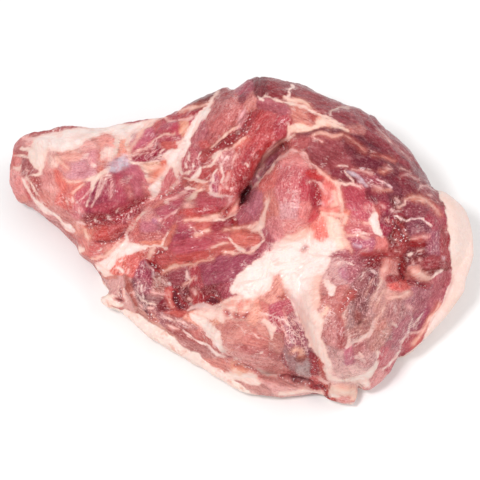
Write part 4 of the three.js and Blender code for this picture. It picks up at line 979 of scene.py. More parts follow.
MIDDLE_FAT = {
    "upper strip's top": ((238, 210, 192), [(-37, 28.5, 0.8), (-33, 30.5, 1.8), (-30.5, 33.5, 1.4),
        (-27, 35, 0.8)]),
    "strip's lilac top": ((228, 194, 198), [(-22, 33.5, 1), (-16, 33, 1.2), (-10, 32, 1), (-4, 31, 1)]),
    "strip's left top": (PINK_FAT, [(-48, 28.5, 0.7), (-43, 30.5, 0.9), (-38.5, 33.5, 0.8)]),
    "white over it": (WHITE, [(-51, 28, 0.8), (-50, 25.5, 0.9), (-49, 24.5, 0.5)],
        [(-53.5, 32.5, 0.7), (-52, 31, 0.8)]),
    "strip's end": ((220, 150, 154), [(-12, 18.5, 0.6), (-9, 22, 0.7), (-7, 27, 0.7), (-5.5, 31, 0.8)]),
    "right of the end": (PEACH, [(-9, 18, 0.6), (-4, 20.5, 0.8), (-1.5, 24.5, 0.8), (-0.5, 28.5, 0.6)]),
    "orange between": (PEACH, [(-38, 13.5, 0.6), (-30, 14, 0.8), (-24, 14.5, 1.2), (-18, 16, 1.4),
        (-13, 17.5, 0.8)]),
    "cream between": (CREAM, [(-21, 13, 0.4), (-13, 14.5, 0.6), (-8, 17, 0.8), (-4, 18.5, 0.5)]),
    "left strip's hair": ((220, 160, 168), [(-53, 14.5, 0.5), (-48, 18, 0.6), (-43, 21.5, 0.5)]),
    "left strip's line": (CREAM, [(-55, -3, 0.9), (-54, 1, 0.8), (-51.5, 4.5, 0.8), (-50, 6, 0.5)]),
    "left strip's flecks": (PINK_FAT, [(-58, 14, 0.7), (-56, 12.5, 0.8)]),
    "orange foot": (CREAM, [(-69, -4.5, 1), (-63, -4.5, 1), (-56, -4.5, 0.9), (-51.5, -5.5, 0.8)]),
    "over the notch": (PEACH, [(-64, -12, 0.7), (-62, -8.5, 1.6), (-60, -6.5, 1.2)]),
    "splash": (PEACH, [(-31, 3, 0.8), (-28, 4, 1.2), (-25, 6, 0.9), (-21.5, 7, 0.7)]),
    "splash's hair": (PINK_FAT, [(-34, 9, 0.5), (-31, 8, 0.5), (-30, 6, 0.4)]),
    "splash, middle": ((238, 190, 178), [(-21, -5, 0.7), (-16, -3.5, 0.9), (-9, -2.5, 0.9)]),
    "splash, right": (CREAM, [(-8.5, 2, 0.8), (-6, -1, 1.2), (-2, -4, 1.2), (3, -7, 1.4)]),
    "under the splash": (PEACH, [(-10, -9.5, 0.5), (-5, -8.5, 0.7), (3, -8, 0.9), (9, -8, 0.9)]),
    "over the small tongue": (PEACH, [(-11, 6.5, 0.5), (-5, 7.5, 0.8), (2, 8.5, 1), (8, 9, 1.4),
        (12, 12, 1.2)]),
    "tongue's edge": ((244, 196, 178), [(-54, -21, 1), (-50, -20, 1.1), (-45, -18.5, 0.9), (-38, -18, 0.8),
        (-32, -17, 0.8), (-27, -15, 0.6), (-20, -13, 0.4)]),
    "round the small tongue": (CREAM, [(11, 8, 1.6), (15, 4, 1.2), (17, 0, 1), (13, -4, 1), (8, -7, 1)]),
    "spot on the dark strip": (WHITE, [(-3.9, 14.7, 0.7), (-3, 14.3, 0.7)]),
    "tissue": ((190, 158, 168), [(-66, -15.5, 0.6), (-63, -18, 0.7), (-61, -21, 0.7), (-60, -26, 0.6)]),
    "tissue, grey": (GREY_FAT, [(-60, -24, 0.6), (-59, -29, 0.8), (-58, -33, 0.7)],
        [(-56.5, -26, 0.7), (-56, -31, 0.7)]),
    "tissue, pale": ((222, 204, 204), [(-49.5, -31, 0.9), (-49, -33, 0.8)]),
    "tissue, pink": (PINK_FAT, [(-62, -36.5, 0.6), (-58, -38.5, 0.7), (-52, -39.5, 0.8)]),
    "tissue, cream": (CREAM, [(-68, -42, 0.6), (-64, -44, 0.6), (-58, -45, 0.5)]),
    "tissue, right": ((216, 184, 184), [(-37, -22, 0.7), (-36.5, -26, 0.8), (-35, -28, 0.5)]),
    "tissue, peach": (PEACH, [(-39, -32, 0.5), (-36, -29.5, 0.6), (-33, -27, 0.5)]),
    "spots by the pocket": (PINK_FAT, [(-33.5, -34.5, 0.6), (-31.5, -37.5, 0.9)]),
    "pocket's lip": ((230, 152, 142), [(-46.5, -46, 0.6), (-49, -42, 0.8), (-50.5, -37, 0.8)]),
    "white by the pocket": (PINK_FAT, [(-36, -40.5, 0.9), (-35, -41.5, 0.7)]),
    "pale under the pocket": ((222, 184, 182), [(-37, -49, 0.8), (-31, -46, 2), (-24, -46, 2.2),
        (-18, -47, 1)]),
}
NEAR_FAT = {
    "lobe's left": ((243, 222, 214), [(-34, -53, 1.4), (-28, -56, 4), (-22, -61, 4.2), (-18, -67, 3.8),
        (-15, -74, 2.4), (-12, -79, 1.2)]),
    "lobe's left top": ((248, 214, 202), [(-30, -51, 2), (-22, -51.5, 3), (-15, -52, 2.6), (-13, -56, 2)]),
    "line in it": ((236, 156, 142), [(-29, -51, 0.6), (-28, -57, 0.6), (-27.5, -62, 0.6)]),
    "grey foot of it": ((206, 182, 174), [(-13, -76, 1.6), (-9, -80, 1.4), (-3, -83.5, 0.9)]),
    "over the gland": (CREAM, [(-14, -45.5, 1.2), (-9, -42, 1.6), (-1, -40.5, 1.8), (8, -41, 1.6)]),
    "between the lobules": ((226, 118, 96), [(-14, -43, 0.3), (-9.5, -44.5, 0.6), (-5, -45.5, 0.6),
        (0, -46, 0.6), (6, -43.5, 0.4)], [(-9.5, -44.5, 0.5), (-10.5, -49, 0.5)],
        [(-4.5, -40, 0.3), (-5, -45.5, 0.5), (-4.5, -51, 0.5)],
        [(1, -40, 0.3), (0.5, -46, 0.6), (1, -51, 0.4)]),
    "gland's lump": (CREAM, [(-11, -46.5, 1.6), (-7, -47.5, 2)], [(-4, -44, 1.8), (-5, -49.5, 1.4)]),
    "gland's lump, right": ((246, 208, 192), [(4, -47.5, 1.8), (3, -49.5, 1)]),
    "gland's red dot": ((206, 76, 88), [(-9.8, -50.3, 0.8), (-9, -51.5, 0.8)]),
    "gland's dots": ((168, 52, 48), [(-4, -52.2, 0.5), (-1.5, -52.8, 0.6)]),
    "gland's dots, right": ((186, 62, 48), [(2.5, -52.6, 0.6), (5, -50.5, 0.5)]),
    "gland's red streak": ((234, 134, 110), [(4.5, -43.2, 0.7), (12, -43, 0.6)]),
    "gland's red spots": ((236, 142, 122), [(-6.5, -42.3, 0.7), (-4, -43, 0.6)]),
    "over the lobe": ((244, 208, 202), [(-3, -58, 0.2), (1, -61.5, 0.4), (4, -64, 0.2)],
        [(8, -63, 0.1), (11, -66, 0.3), (14, -68.5, 0.1)]),
    "lobe's spots": ((236, 204, 196), [(23.5, -74.3, 0.7), (24.5, -74.8, 0.6)],
        [(14.5, -79, 0.7), (15.5, -79, 0.7)]),
    "between lobe and wedge": (CREAM, [(17, -56, 0.8), (20, -58, 1.6), (22, -62, 2.6), (22, -66, 1.6),
        (21.5, -69, 0.7)]),
    "wedge's vein": (WHITE, [(13, -50, 0.2), (17, -52, 0.5), (22, -52.6, 0.5), (27, -50, 0.1)],
        [(24, -53.5, 0.2), (28, -56, 0.4), (32, -57, 0.5), (36, -61.5, 0.4), (40, -66, 0.1)]),
    "wedge's vein, pink": (PINK_FAT, [(32, -57, 0.3), (33, -53, 0.3), (31.5, -48, 0.2)],
        [(28.5, -56, 0.2), (28, -60, 0.3), (30, -65, 0.4), (33, -71, 0.2)]),
    "wedge's ring": ((246, 198, 174), [(37, -77, 0.8), (40, -75.8, 0.9), (43, -77.5, 0.7),
        (42.5, -79.5, 0.6)]),
    "nub": ((244, 228, 216), [(-92, -41.5, 4.6), (-87, -45, 2.4), (-83, -45.5, 1.5)]),
    "nub's rim": (CREAM, [(-89.5, -38.5, 1.2), (-86, -39.5, 0.9)]),
    "beside the slit": (CREAM, [(-83.8, -32, 0.6), (-84, -38, 0.8)],
        [(-81, -33, 0.6), (-80.5, -38, 0.9), (-80, -43, 1)]),
    "strip hair": (WHITE, [(-69.5, -33, 0.6), (-68.5, -37, 0.7), (-67.5, -41, 0.5)],
        [(-40, -64, 0.5), (-34, -68, 0.8), (-30, -70.5, 0.9), (-24, -73.5, 1.1), (-20, -77, 1.4),
        (-14, -81, 0.9), (-11, -83, 0.7)]),
    "strip hair, grey": (GREY_FAT, [(-72, -34, 0.5), (-71, -39, 0.6), (-68, -43, 0.6)]),
    "strip hair, pink": (PINK_FAT, [(-74, -37, 0.5), (-72, -42, 0.6), (-68, -47, 0.5)],
        [(-63, -47, 0.6), (-60, -47, 0.8)], [(-50, -59, 0.4), (-46, -61.5, 0.6), (-42, -63, 0.4)]),
    "strip hair, pale": ((234, 194, 190), [(-53, -53, 0.6), (-46, -55, 0.7), (-41, -57, 0.7),
        (-34, -61.5, 0.5)]),
    "strip hair, cream": (CREAM, [(-38, -67.5, 0.4), (-33, -70, 0.5)]),
    "strip hair, peach": (PEACH, [(-60.5, -51.5, 0.4), (-58, -55, 0.5)]),
    "flap, left": (CREAM, [(-9, -95, 3), (-2, -94, 3.5), (6, -97, 4), (12, -100, 2.5)]),
    "flap's orange": ((244, 194, 164), [(-3, -90, 1), (1, -92.5, 2)]),
    "flap, right": (CREAM, [(28, -108, 1.6), (38, -107, 2), (48, -105.5, 2.2), (57, -107, 2)]),
    "flap's pink": (PINK_FAT, [(56, -97.5, 1.6), (61, -101, 1.2)]),
    "lobe's foot": (GREY_FAT, [(10, -89.5, 0.8), (14, -91.5, 1.5), (19, -94, 1.6), (25, -95.5, 1)]),
}
HIDDEN_FAT = {
    "back of the arm": (WHITE, [(-104, 86, 1.2), (-100, 92, 0.8), (-88, 100, 1.4), (-80, 112, 2.6)]),
    "back of the arm, branch": (PEACH, [(-98, 93, 0.8), (-104, 102, 1.2), (-116, 106, 0.6)]),
    "back of the seam": (CREAM, [(-50, 100, 0.7), (-44, 110, 1.6), (-28, 116, 1), (-20, 128, 1.6),
        (-24, 140, 2.4)]),
    "back of the seam, branch": (PINK_FAT, [(-30, 116, 0.8), (-16, 114, 1.2), (-2, 118, 0.5)]),
    "back of the apex": (PEACH, [(6, 120, 0.6), (18, 126, 1.4), (22, 136, 0.9), (34, 140, 2)]),
    "back of the crest": (CREAM, [(52, 108, 0.6), (48, 116, 1.2), (58, 124, 1.6), (54, 134, 2.4)]),
    "back of the crest, branch": (WHITE, [(58, 122, 0.8), (72, 112, 1.2), (84, 108, 0.5)]),
    "back of the right end": (WHITE, [(108, 84, 0.6), (104, 92, 1.2), (110, 98, 1.6)]),
    "end of the arm": (CREAM, [(-170, 56, 0.8), (-178, 60, 1.2), (-184, 52, 2)]),
}
fat_groups = (ARM_FAT, UPPER_FAT, BALL_AND_CREST_FAT, FAT_SHEET, RIGHT_FAT, KNOB_FAT, MIDDLE_FAT, NEAR_FAT,
              HIDDEN_FAT)
FAT_MIXING = 0.9
NO_FAT = -20.0
# how far, size, seed
FRAYING = [(0.35, 7, 31), (0.245, 3, 32)]
FRAYING_BY_WIDTH = 0.75
EDGE_BLUR = 0.1
FIRM_FAT = 0.25
SOFT_FAT = 0.62


def smooth_step(low, high, x):
    """0 below low, 1 above high, and 3t^2 - 2t^3 between them."""
    t = np.clip((x - low) / (high - low), 0, 1)
    return t * t * (3 - 2 * t)


fray = sum(far * lattice_noise(points, size, seed) for far, size, seed in FRAYING)
fat_depth = np.full(len(points), NO_FAT)
fat_colour = np.zeros((len(points), 3))
weight_sum = np.full(len(points), NO_WEIGHT)
for colour, *strokes in (row for group in fat_groups for row in group.values()):
    for stroke in strokes:
        mean_width = np.mean([place[2] for place in stroke])
        depth = stroke_depth(bent_a, bent_b, stroke) + fray * mean_width**FRAYING_BY_WIDTH
        depth /= 1 + EDGE_BLUR * mean_width
        fat_depth = np.maximum(fat_depth, depth)
        weight = np.exp(np.maximum(depth, NO_FAT) / FAT_MIXING)
        weight_sum += weight
        fat_colour += weight[:, None] * linear(colour)
fat_colour /= weight_sum[:, None]
# Fat with much red in it and little blue is thin, and lies softly over the lean.
fat_softness = smooth_step(FIRM_FAT, SOFT_FAT, 1 - fat_colour[:, 2] / fat_colour[:, 0])

# FILM, BLOOD AND HOLLOWS
# Thin milky skin over a few muscles, and the hollows, whose dark is gathered blood and painted shade where
# little light reaches. They are strokes as well: a film whitens the lean, and a hollow sinks the surface and
# darkens it with that painted shade and blood.
FILM_COLOUR = (226, 206, 216)
FILMS = {
    "arm's film": [(-91, 50, 2), (-86, 52, 4.5), (-82, 54, 4.5), (-80, 58, 2.5)],
    "crest's film": [(74, 47.3, 0.6), (78, 45.5, 1.6), (82, 43.8, 1.8), (86, 41, 1.2)],
    "crest's film's foot": [(83, 41, 0.6), (86.5, 39.5, 1.3), (88.5, 38, 0.8)],
    "notch's film": [(-66, -15.5, 0.7), (-61, -20.5, 0.9), (-60, -25, 0.6)],
    # The oval's shine is a painted highlight, laid on as a film.
    "oval's shine": [(79, -3.5, 0.7), (84, -4.5, 1)],
}
# Painted shade and blood: the dark laid into the bottom of every hollow below.
HOLLOW_SHADE_AND_BLOOD = (104, 30, 42)
HOLLOWS = {
    "bone's hollow, bottom": [(8, 38, 1.2), (5.5, 34, 2), (4, 30.5, 2.4), (2.2, 27, 1.9), (0.5, 24, 0.9)],
    "hollow's far end": [(29.5, 65.5, 0.5), (32.5, 67.5, 0.5)],
    "slit by the strip": [(-11, 18, 0.1), (-8, 20.5, 0.5), (-6.5, 22.5, 0.2)],
    "groove": [(-22, 60.5, 0.4), (-15, 64.5, 0.7), (-8, 69.5, 0.6), (-1, 74, 0.8), (3, 78, 0.8),
        (6.5, 84, 0.7), (9, 89, 0.4)],
    "cut of the arm": [(-107, 9.5, 0.5), (-101, 10, 0.9), (-95, 13, 1.1), (-89, 13, 0.9), (-83, 16, 0.6)],
    "cut of the arm, right": [(-81, 19.5, 0.8), (-76, 22.5, 0.9), (-70, 25, 0.8), (-66, 28.5, 0.4)],
    "cut of the ledge": [(-101, -2, 0.6), (-96, -1.5, 0.8), (-91, -0.5, 0.9), (-86, 1, 0.8), (-83, 4, 0.8),
        (-80.5, 8, 0.5)],
    "line to the seam": [(-56, 30, 0.4), (-50, 31.5, 0.7), (-45, 34.5, 0.9), (-43, 37.5, 0.7)],
    "socket": [(88, -18, 0.5), (91, -14.5, 1), (96, -12.6, 0.8), (101, -11.6, 0.9), (105, -12.3, 0.7),
        (109, -13.5, 0.4)],
    "socket's fall": [(111.5, -17, 0.8), (112.5, -22, 1.1), (114.5, -27, 0.9), (112, -29, 0.4)],
    "socket's end": [(118, -29.5, 0.5), (122, -29.6, 1), (126, -30.6, 1.2), (130, -31.5, 0.6)],
    "dark of the shoulder": [(107, 13, 0.8), (110, 10.5, 1.6), (113, 7.5, 1.8), (115, 2.5, 1.2)],
    "blood": [(109, 3.5, 0.6), (112, -0.5, 0.9)],
    "pocket": [(-45.5, -37.5, 1.6), (-45, -41, 2.6), (-42, -45, 2.2), (-38, -46.5, 1)],
    "gland's pit": [(-9.9, -50, 0.5), (-8.8, -51.3, 0.8)],
    "gland's pit, middle": [(-4.2, -52.2, 0.5), (-1.8, -52.7, 0.8)],
    "gland's pit, right": [(2.6, -52.5, 0.8), (4.6, -50.8, 0.5)],
    "pocket, right": [(-23, -41.5, 1.2), (-19, -41, 2.4), (-15, -42.5, 1.4)],
    "notch": [(-60, -11.5, 0.7), (-57, -9, 1), (-53, -7, 0.8)],
    "notch's foot": [(-64, -14, 0.8), (-61.5, -16.5, 1.5), (-58, -19.5, 1.2), (-55, -20.5, 0.6)],
    "slit in the nub": [(-87, -41.5, 0.4), (-84.5, -41.8, 1.3), (-83, -42.3, 1.4)],
    "slit in the nub, upper": [(-82.7, -34.5, 0.4), (-82.5, -40, 0.6)],
    "line on the strip": [(-62, -51, 0.5), (-61, -54, 0.6), (-59, -55.5, 0.6)],
    "slit by the gland": [(27, -40.5, 0.3), (30, -40, 0.6), (32, -39, 0.4)],
    "under the lobe": [(-9, -82.5, 0.6), (-5.5, -82.6, 0.6)],
    "under the lobe, right": [(-2, -87, 0.4), (4, -88.5, 0.7), (8, -89.5, 0.9), (11, -92, 0.6)],
    "under the wedge": [(29, -96, 0.6), (33, -94.3, 1), (38, -96.5, 2), (43, -98.5, 1.8), (49, -99.8, 1.3),
        (54, -102, 1.1), (58, -104, 0.9), (62, -110, 0.9)],
    "wedge's edge": [(52, -84, 0.4), (52.5, -90, 0.5), (50.5, -94, 0.4)],
    # A painted shadow beside the wedge's grey.
    "shadow beside the wedge's grey": [(30, -79, 0.4), (31, -84, 0.7), (33, -88, 0.4)],
    "cut on the knob": [(71, -49, 0.4), (75.5, -42, 0.6), (80, -36, 0.4)],
    "cut by the ball": [(54.5, 38, 0.2), (55, 32, 0.3), (54, 25, 0.2)],
    "outline of the arm": [(-151, 75.5, 0.8), (-142, 77.5, 0.8), (-132, 78.5, 0.6), (-122, 80.5, 0.3)],
    "small cut in the fat": [(43, -8, 0.4), (47, -5, 0.4)],
}


def deepest(strokes):
    """Depth in whichever of the strokes a place is deepest in."""
    return np.max([stroke_depth(bent_a, bent_b, stroke) for stroke in strokes.values()], axis=0)


FILM_EDGE = (-1.2, 1.6)
film = smooth_step(*FILM_EDGE, deepest(FILMS))
hollow_depth = deepest(HOLLOWS)

# RIND
# Smooth pale skin with its fat wraps the round end, the near edge, the foot of the far side and the
# underside. It starts where the drawing passes this line, and is most uneven along the near edge.
RIND_LINE = [(146, 0), (145.5, 11), (143.5, 21), (139.5, 31), (134, 60), (112, 98), (88, 122), (50, 145),
             (10, 152), (-30, 140), (-70, 122), (-112, 110), (-140, 98), (-172, 88), (-184, 58), (-180, 30),
             (-150, 5), (-128, -14), (-106, -26), (-90, -47), (-80, -49), (-70, -52.5), (-58, -59.5),
             (-50, -64.5), (-42, -72), (-30, -79.5), (-20, -88), (-10, -92), (4, -103), (18, -113),
             (40, -115), (62, -115), (72, -115), (86, -111), (104, -106), (118, -92), (127, -72), (134, -56),
             (141, -45), (146.5, -32), (147.5, -20), (147, -10)]
RIND_LINE_STEPS = 8
SMOOTHED = 0.85
ROUND_END = (80, 115)
TOWARD_NEAR_EDGE = (40, 0)
rind_line = closed_curve(np.array(RIND_LINE, float), RIND_LINE_STEPS)
rind_angle = np.arctan2(rind_line[:, 1] - HUB[1], rind_line[:, 0] - HUB[0])
rind_reach = np.hypot(rind_line[:, 0] - HUB[0], rind_line[:, 1] - HUB[1])
here = np.arctan2(bent_b - HUB[1], bent_a - HUB[0])
rind_depth = (np.hypot(bent_a - HUB[0], bent_b - HUB[1])
              - np.interp(here, rind_angle, rind_reach, period=2 * np.pi))
uneven_rind = ((1 - SMOOTHED * smooth_step(*ROUND_END, bent_a))
               * (1 - SMOOTHED + SMOOTHED * smooth_step(*TOWARD_NEAR_EDGE, bent_b)))

# THE SURFACE
# Wet, slack meat: the muscles are lumpy and split along their fibres, fat and rind stand a little proud, fat
# has a crease beside it, and the hollows are sunk. All are heights in millimetres along the normals.

# height, size, seed, share of it that the rind takes away
LUMPS = [(0.9, 15, 11, 0.6), (0.55, 6, 12, 0.8), (0.25, 2.6, 13, 0.9)]
# along the fibres, across them and up
BUNDLE_SIZE = np.array([11, 2.4, 5])
SPLIT_SIZE = np.array([26, 6, 12])
BUNDLE_HEIGHT = 0.3
SPLIT_DEPTH = 0.8
SPLIT_WIDTH = 0.07
FAT_HEIGHT = 0.4
FAT_CREASE = 0.3
FAT_CREASE_WIDTH = 1.1
HOLLOW_SINK = 1.6
RIND_HEIGHT = 1.2
RIND_LUMPS = 0.7
RIND_LUMP_SIZE = 8
SLUMP = 2.4
SLUMP_SIZE = 34

quad_normals = np.cross(points[quads[:, 2]] - points[quads[:, 0]], points[quads[:, 3]] - points[quads[:, 1]])
normals = np.stack([np.bincount(quads.ravel(), np.repeat(quad_normals[:, axis], 4), len(points))
                    for axis in range(3)], axis=-1)
normals /= np.linalg.norm(normals, axis=-1, keepdims=True) + NEARLY_NOTHING

# A smooth step here starts and ends at a depth in the tissue, down the wall, or over the table.
lean_share = 1 - smooth_step(-0.5, 0.8, np.maximum(fat_depth, rind_depth))
rind_share = smooth_step(-1, 2, rind_depth)
split_noise = lattice_noise(grain / SPLIT_SIZE, size=1, seed=21)
relief = sum(rise * lattice_noise(points, size, seed) * (1 - taken * rind_share)
             for rise, size, seed, taken in LUMPS)
relief += BUNDLE_HEIGHT * lattice_noise(grain / BUNDLE_SIZE, size=1, seed=14) * lean_share
relief -= SPLIT_DEPTH * np.exp(-((split_noise / SPLIT_WIDTH) ** 2)) * lean_share
relief += FAT_HEIGHT * smooth_step(0.4, 5, fat_depth) * (1 - rind_share)
relief -= FAT_CREASE * np.exp(-(((fat_depth - 0.1) / FAT_CREASE_WIDTH) ** 2)) * (1 - rind_share)
relief -= HOLLOW_SINK * smooth_step(-0.6, 2.2, hollow_depth)
relief += RIND_HEIGHT * smooth_step(-0.5, 2.5, rind_depth)
relief += RIND_LUMPS * lattice_noise(points, RIND_LUMP_SIZE, seed=16) * rind_share * uneven_rind
relief += SLUMP * (lattice_noise(points, SLUMP_SIZE, seed=15) - 1) * smooth_step(6, 30, down)
resting = smooth_step(0, 8, points[:, 2])
points = points + (relief * resting)[:, None] * normals
points[:, 2] = np.maximum(points[:, 2], 0)

# It is set in the middle of the solid's box and kept inside it.
low, high = (np.array(box_corner) / MM for box_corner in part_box("pork_butt"))
shift = (low + high - points.min(axis=0) - points.max(axis=0)) / 2
shift[2] = 0
points = np.clip(points + shift, low, high)

mesh = bpy.data.meshes.new("boneless_pork_butt")
mesh.from_pydata((points * MM).tolist(), [], quads.tolist() + closing.tolist())
mesh.update()
mesh.shade_smooth()
butt = bpy.data.objects.new("boneless_pork_butt", mesh)
bpy.context.collection.objects.link(butt)

# The tissues are painted on its corners, for the material to read.
for name, values in {"fat depth": fat_depth, "rind depth": rind_depth, "hollow depth": hollow_depth,
                     "fat softness": fat_softness, "film": film, "marbling": marbling,
                     "uneven rind": uneven_rind}.items():
    mesh.attributes.new(name, "FLOAT", "POINT").data.foreach_set("value", values)
mesh.attributes.new("fibres", "FLOAT_VECTOR", "POINT").data.foreach_set("vector", (grain * MM).ravel())
for name, values in {"lean colour": lean_colour, "fat colour": fat_colour}.items():
    rgba = np.column_stack([values, np.ones(len(points))])
    mesh.attributes.new(name, "FLOAT_COLOR", "POINT").data.foreach_set("color", rgba.ravel())

# THE FLESH
# One wet material: the painted tissues get their fine texture, each muscle its marbling and fibres, and the
# borders between tissues their ragged edge. A ramp starts and ends at a value of its noise, or at a depth.
flesh = bpy.data.materials.new("raw pork")
flesh.use_nodes = True
tree = flesh.node_tree
skin_shader = tree.nodes["Principled BSDF"]


def add_node(kind, inputs=(), **settings):
    """A node of the flesh with these settings. An input is a value, or another node's output to link."""
    made = tree.nodes.new("ShaderNode" + kind)
    for key, value in settings.items():
        setattr(made, key, value)
    for key, value in dict(inputs).items():
        if isinstance(value, bpy.types.NodeSocket):
            tree.links.new(value, made.inputs[key])
        else:
            made.inputs[key].default_value = value
    return made


def painted(name, output="Fac"):
    """What was painted on the mesh under this name."""
    return add_node("Attribute", attribute_name=name).outputs[output]


def math(operation, x, y=0.0, z=0.0):
    """x, y and z combined by the operation. MULTIPLY_ADD gives x times y + z."""
    return add_node("Math", {0: x, 1: y, 2: z}, operation=operation).outputs[0]


def ramp(x, start, end, at_start=0.0, at_end=1.0):
    """Smooth step of x from start to end, scaled to run from at_start to at_end."""
    return add_node("MapRange", {"Value": x, "From Min": start, "From Max": end, "To Min": at_start,
                                 "To Max": at_end}, interpolation_type="SMOOTHSTEP").outputs[0]


def grains(places, size, detail, roughness=0.5):
    """Noise from 0 to 1 with lumps of this size in millimetres."""
    return add_node("TexNoise", {"Vector": places, "Scale": 1 / (size * MM), "Detail": detail,
                                 "Roughness": roughness}).outputs["Fac"]


def blended(share, under, over, mode="MIX"):
    """The second colour laid over the first by this share."""
    made = add_node("Mix", {0: share}, data_type="RGBA", blend_type=mode)
    for socket, value in ((made.inputs[6], under), (made.inputs[7], over)):
        if isinstance(value, bpy.types.NodeSocket):
            tree.links.new(value, socket)
        else:
            socket.default_value = (*linear(value), 1)
    return made.outputs[2]


def layered(ground, *layers):
    """A colour with layers laid over it in turn. A layer is its noise, the values at which it starts and
    ends, the share laid on at each, its colour, and the way it is mixed where that isn't plain."""
    for noise, start, end, at_start, at_end, colour, *mode in layers:
        ground = blended(ramp(noise, start, end, at_start, at_end), ground, colour, *mode)
    return ground


def drawn_out(stretch):
    """Places along, across and up the fibres. A stretch under 1 draws the noise out that way."""
    return add_node("Mapping", {"Vector": painted("fibres", "Vector"), "Scale": stretch}).outputs[0]


anywhere = add_node("TexCoord").outputs["Object"]
along_fibres = drawn_out((0.15, 1, 0.5))
along_streaks = drawn_out((0.3, 1, 0.5))

broad = grains(anywhere, size=13, detail=3)
patchy = grains(anywhere, size=4.5, detail=3)
fine = grains(anywhere, size=1.6, detail=3)
tiny = grains(anywhere, size=0.8, detail=2)
fibres = grains(along_fibres, size=1.2, detail=3, roughness=0.6)
streaks = grains(along_streaks, size=3.6, detail=3, roughness=0.6)

# Lean: deeper and paler patches, dark and pale fibres, grit and threads in the marbled muscles. The pale
# grit is partly painted highlights, fine glints of wet.
DEEPER = (208, 161, 168)
PALER = (242, 178, 176)
MARBLING_COLOUR = (247, 210, 204)
FLECK_AND_GLINT_COLOUR = (255, 232, 230)
marbled = painted("marbling")


def where_marbled(share, gain, least):
    """The share times marbling x gain + least, so that more of it shows where the lean is marbled."""
    return math("MULTIPLY", share, math("MULTIPLY_ADD", marbled, gain, least))


lean = layered(painted("lean colour", "Color"),
               (broad, 0.47, 0.7, 0, 0.5, DEEPER, "MULTIPLY"),
               (patchy, 0.5, 0.72, 0, 0.32, DEEPER, "MULTIPLY"),
               (patchy, 0.48, 0.28, 0, 0.18, PALER),
               (fibres, 0.52, 0.3, 0, 0.5, DEEPER, "MULTIPLY"))
lean = blended(where_marbled(ramp(fibres, 0.5, 0.72), gain=0.25, least=0.02), lean, PALER)
speckle = grains(anywhere, size=1.3, detail=2)
dark_grit = where_marbled(ramp(speckle, 0.5, 0.3, 0, 0.8), gain=0.8, least=0.12)
lean = blended(dark_grit, lean, DEEPER, "MULTIPLY")
# Painted highlights in part: the pale grit stands in for fine glints of wet.
pale_grit_and_glints = where_marbled(ramp(speckle, 0.52, 0.7, 0, 0.75), gain=0.8, least=0.03)
lean = blended(pale_grit_and_glints, lean, PALER)
threads = grains(along_streaks, size=1.0, detail=1)
lean = layered(lean, (threads, 0.5, 0.3, 0, 0.3, DEEPER, "MULTIPLY"))
lean = blended(where_marbled(ramp(threads, 0.52, 0.7), gain=0.3, least=0.04), lean, PALER)

# Veins of marbling, fine as hairs, run where the streaks' noise crosses its middle, and more of them by fat.
MIDDLE = 0.5
VEIN_STRENGTH = 0.42
near_fat = ramp(painted("fat depth"), -4.0, -0.5, 0, 0.12)
vein_place = math("ADD", grains(anywhere, size=8, detail=2), near_fat)
vein_place = ramp(math("MULTIPLY_ADD", marbled, 0.13, vein_place), 0.6, 0.76)
off_the_vein = math("ABSOLUTE", math("SUBTRACT", streaks, MIDDLE))
veins = ramp(off_the_vein, 0.005, 0.05, VEIN_STRENGTH, 0)
lean = blended(math("MULTIPLY", veins, vein_place), lean, MARBLING_COLOUR)

# A net of marbling, bent out of its even cells, covers the most marbled muscles.
NET_SIZE = 2.6
NET_WAVE = 4
NET_BEND = (3 * MM, 3 * MM, 3 * MM)
wave = add_node("TexNoise", {"Vector": anywhere, "Scale": 1 / (NET_WAVE * MM)}).outputs["Color"]
waved = add_node("VectorMath", {0: wave, 1: NET_BEND, 2: anywhere}, operation="MULTIPLY_ADD").outputs[0]
cells = add_node("TexVoronoi", {"Vector": waved, "Scale": 1 / (NET_SIZE * MM)}, feature="DISTANCE_TO_EDGE")
net = math("MULTIPLY", ramp(cells.outputs["Distance"], 0.2, 0.04), ramp(marbled, 0.78, 0.98, 0, 0.8))
net = math("MULTIPLY", net, ramp(patchy, 0.36, 0.56))
lean = blended(net, lean, MARBLING_COLOUR)

# White flecks, partly marbling and partly painted glints of wet, lie over both, and the milky film over all.
lean = layered(lean, (math("MULTIPLY_ADD", marbled, 0.1, speckle), 0.72, 0.84, 0, 0.55, FLECK_AND_GLINT_COLOUR))
milky = math("MULTIPLY", painted("film"), ramp(patchy, 0.35, 0.55, 0.45, 0.85))
lean = blended(milky, lean, FILM_COLOUR)

# Every border is ragged by four sizes of noise, each times how far it reaches in millimetres. Their mean is
# about this much, and is taken off, so that a border moves out as often as in.
RAGGED_MEAN = 2.28
ragged = math("MULTIPLY", fibres, 0.8)
ragged = math("MULTIPLY_ADD", patchy, 1.2, ragged)
ragged = math("MULTIPLY_ADD", fine, 1.0, ragged)
lumpy = grains(anywhere, size=6, detail=2)
ragged = math("MULTIPLY_ADD", lumpy, 1.4, math("SUBTRACT", ragged, RAGGED_MEAN))

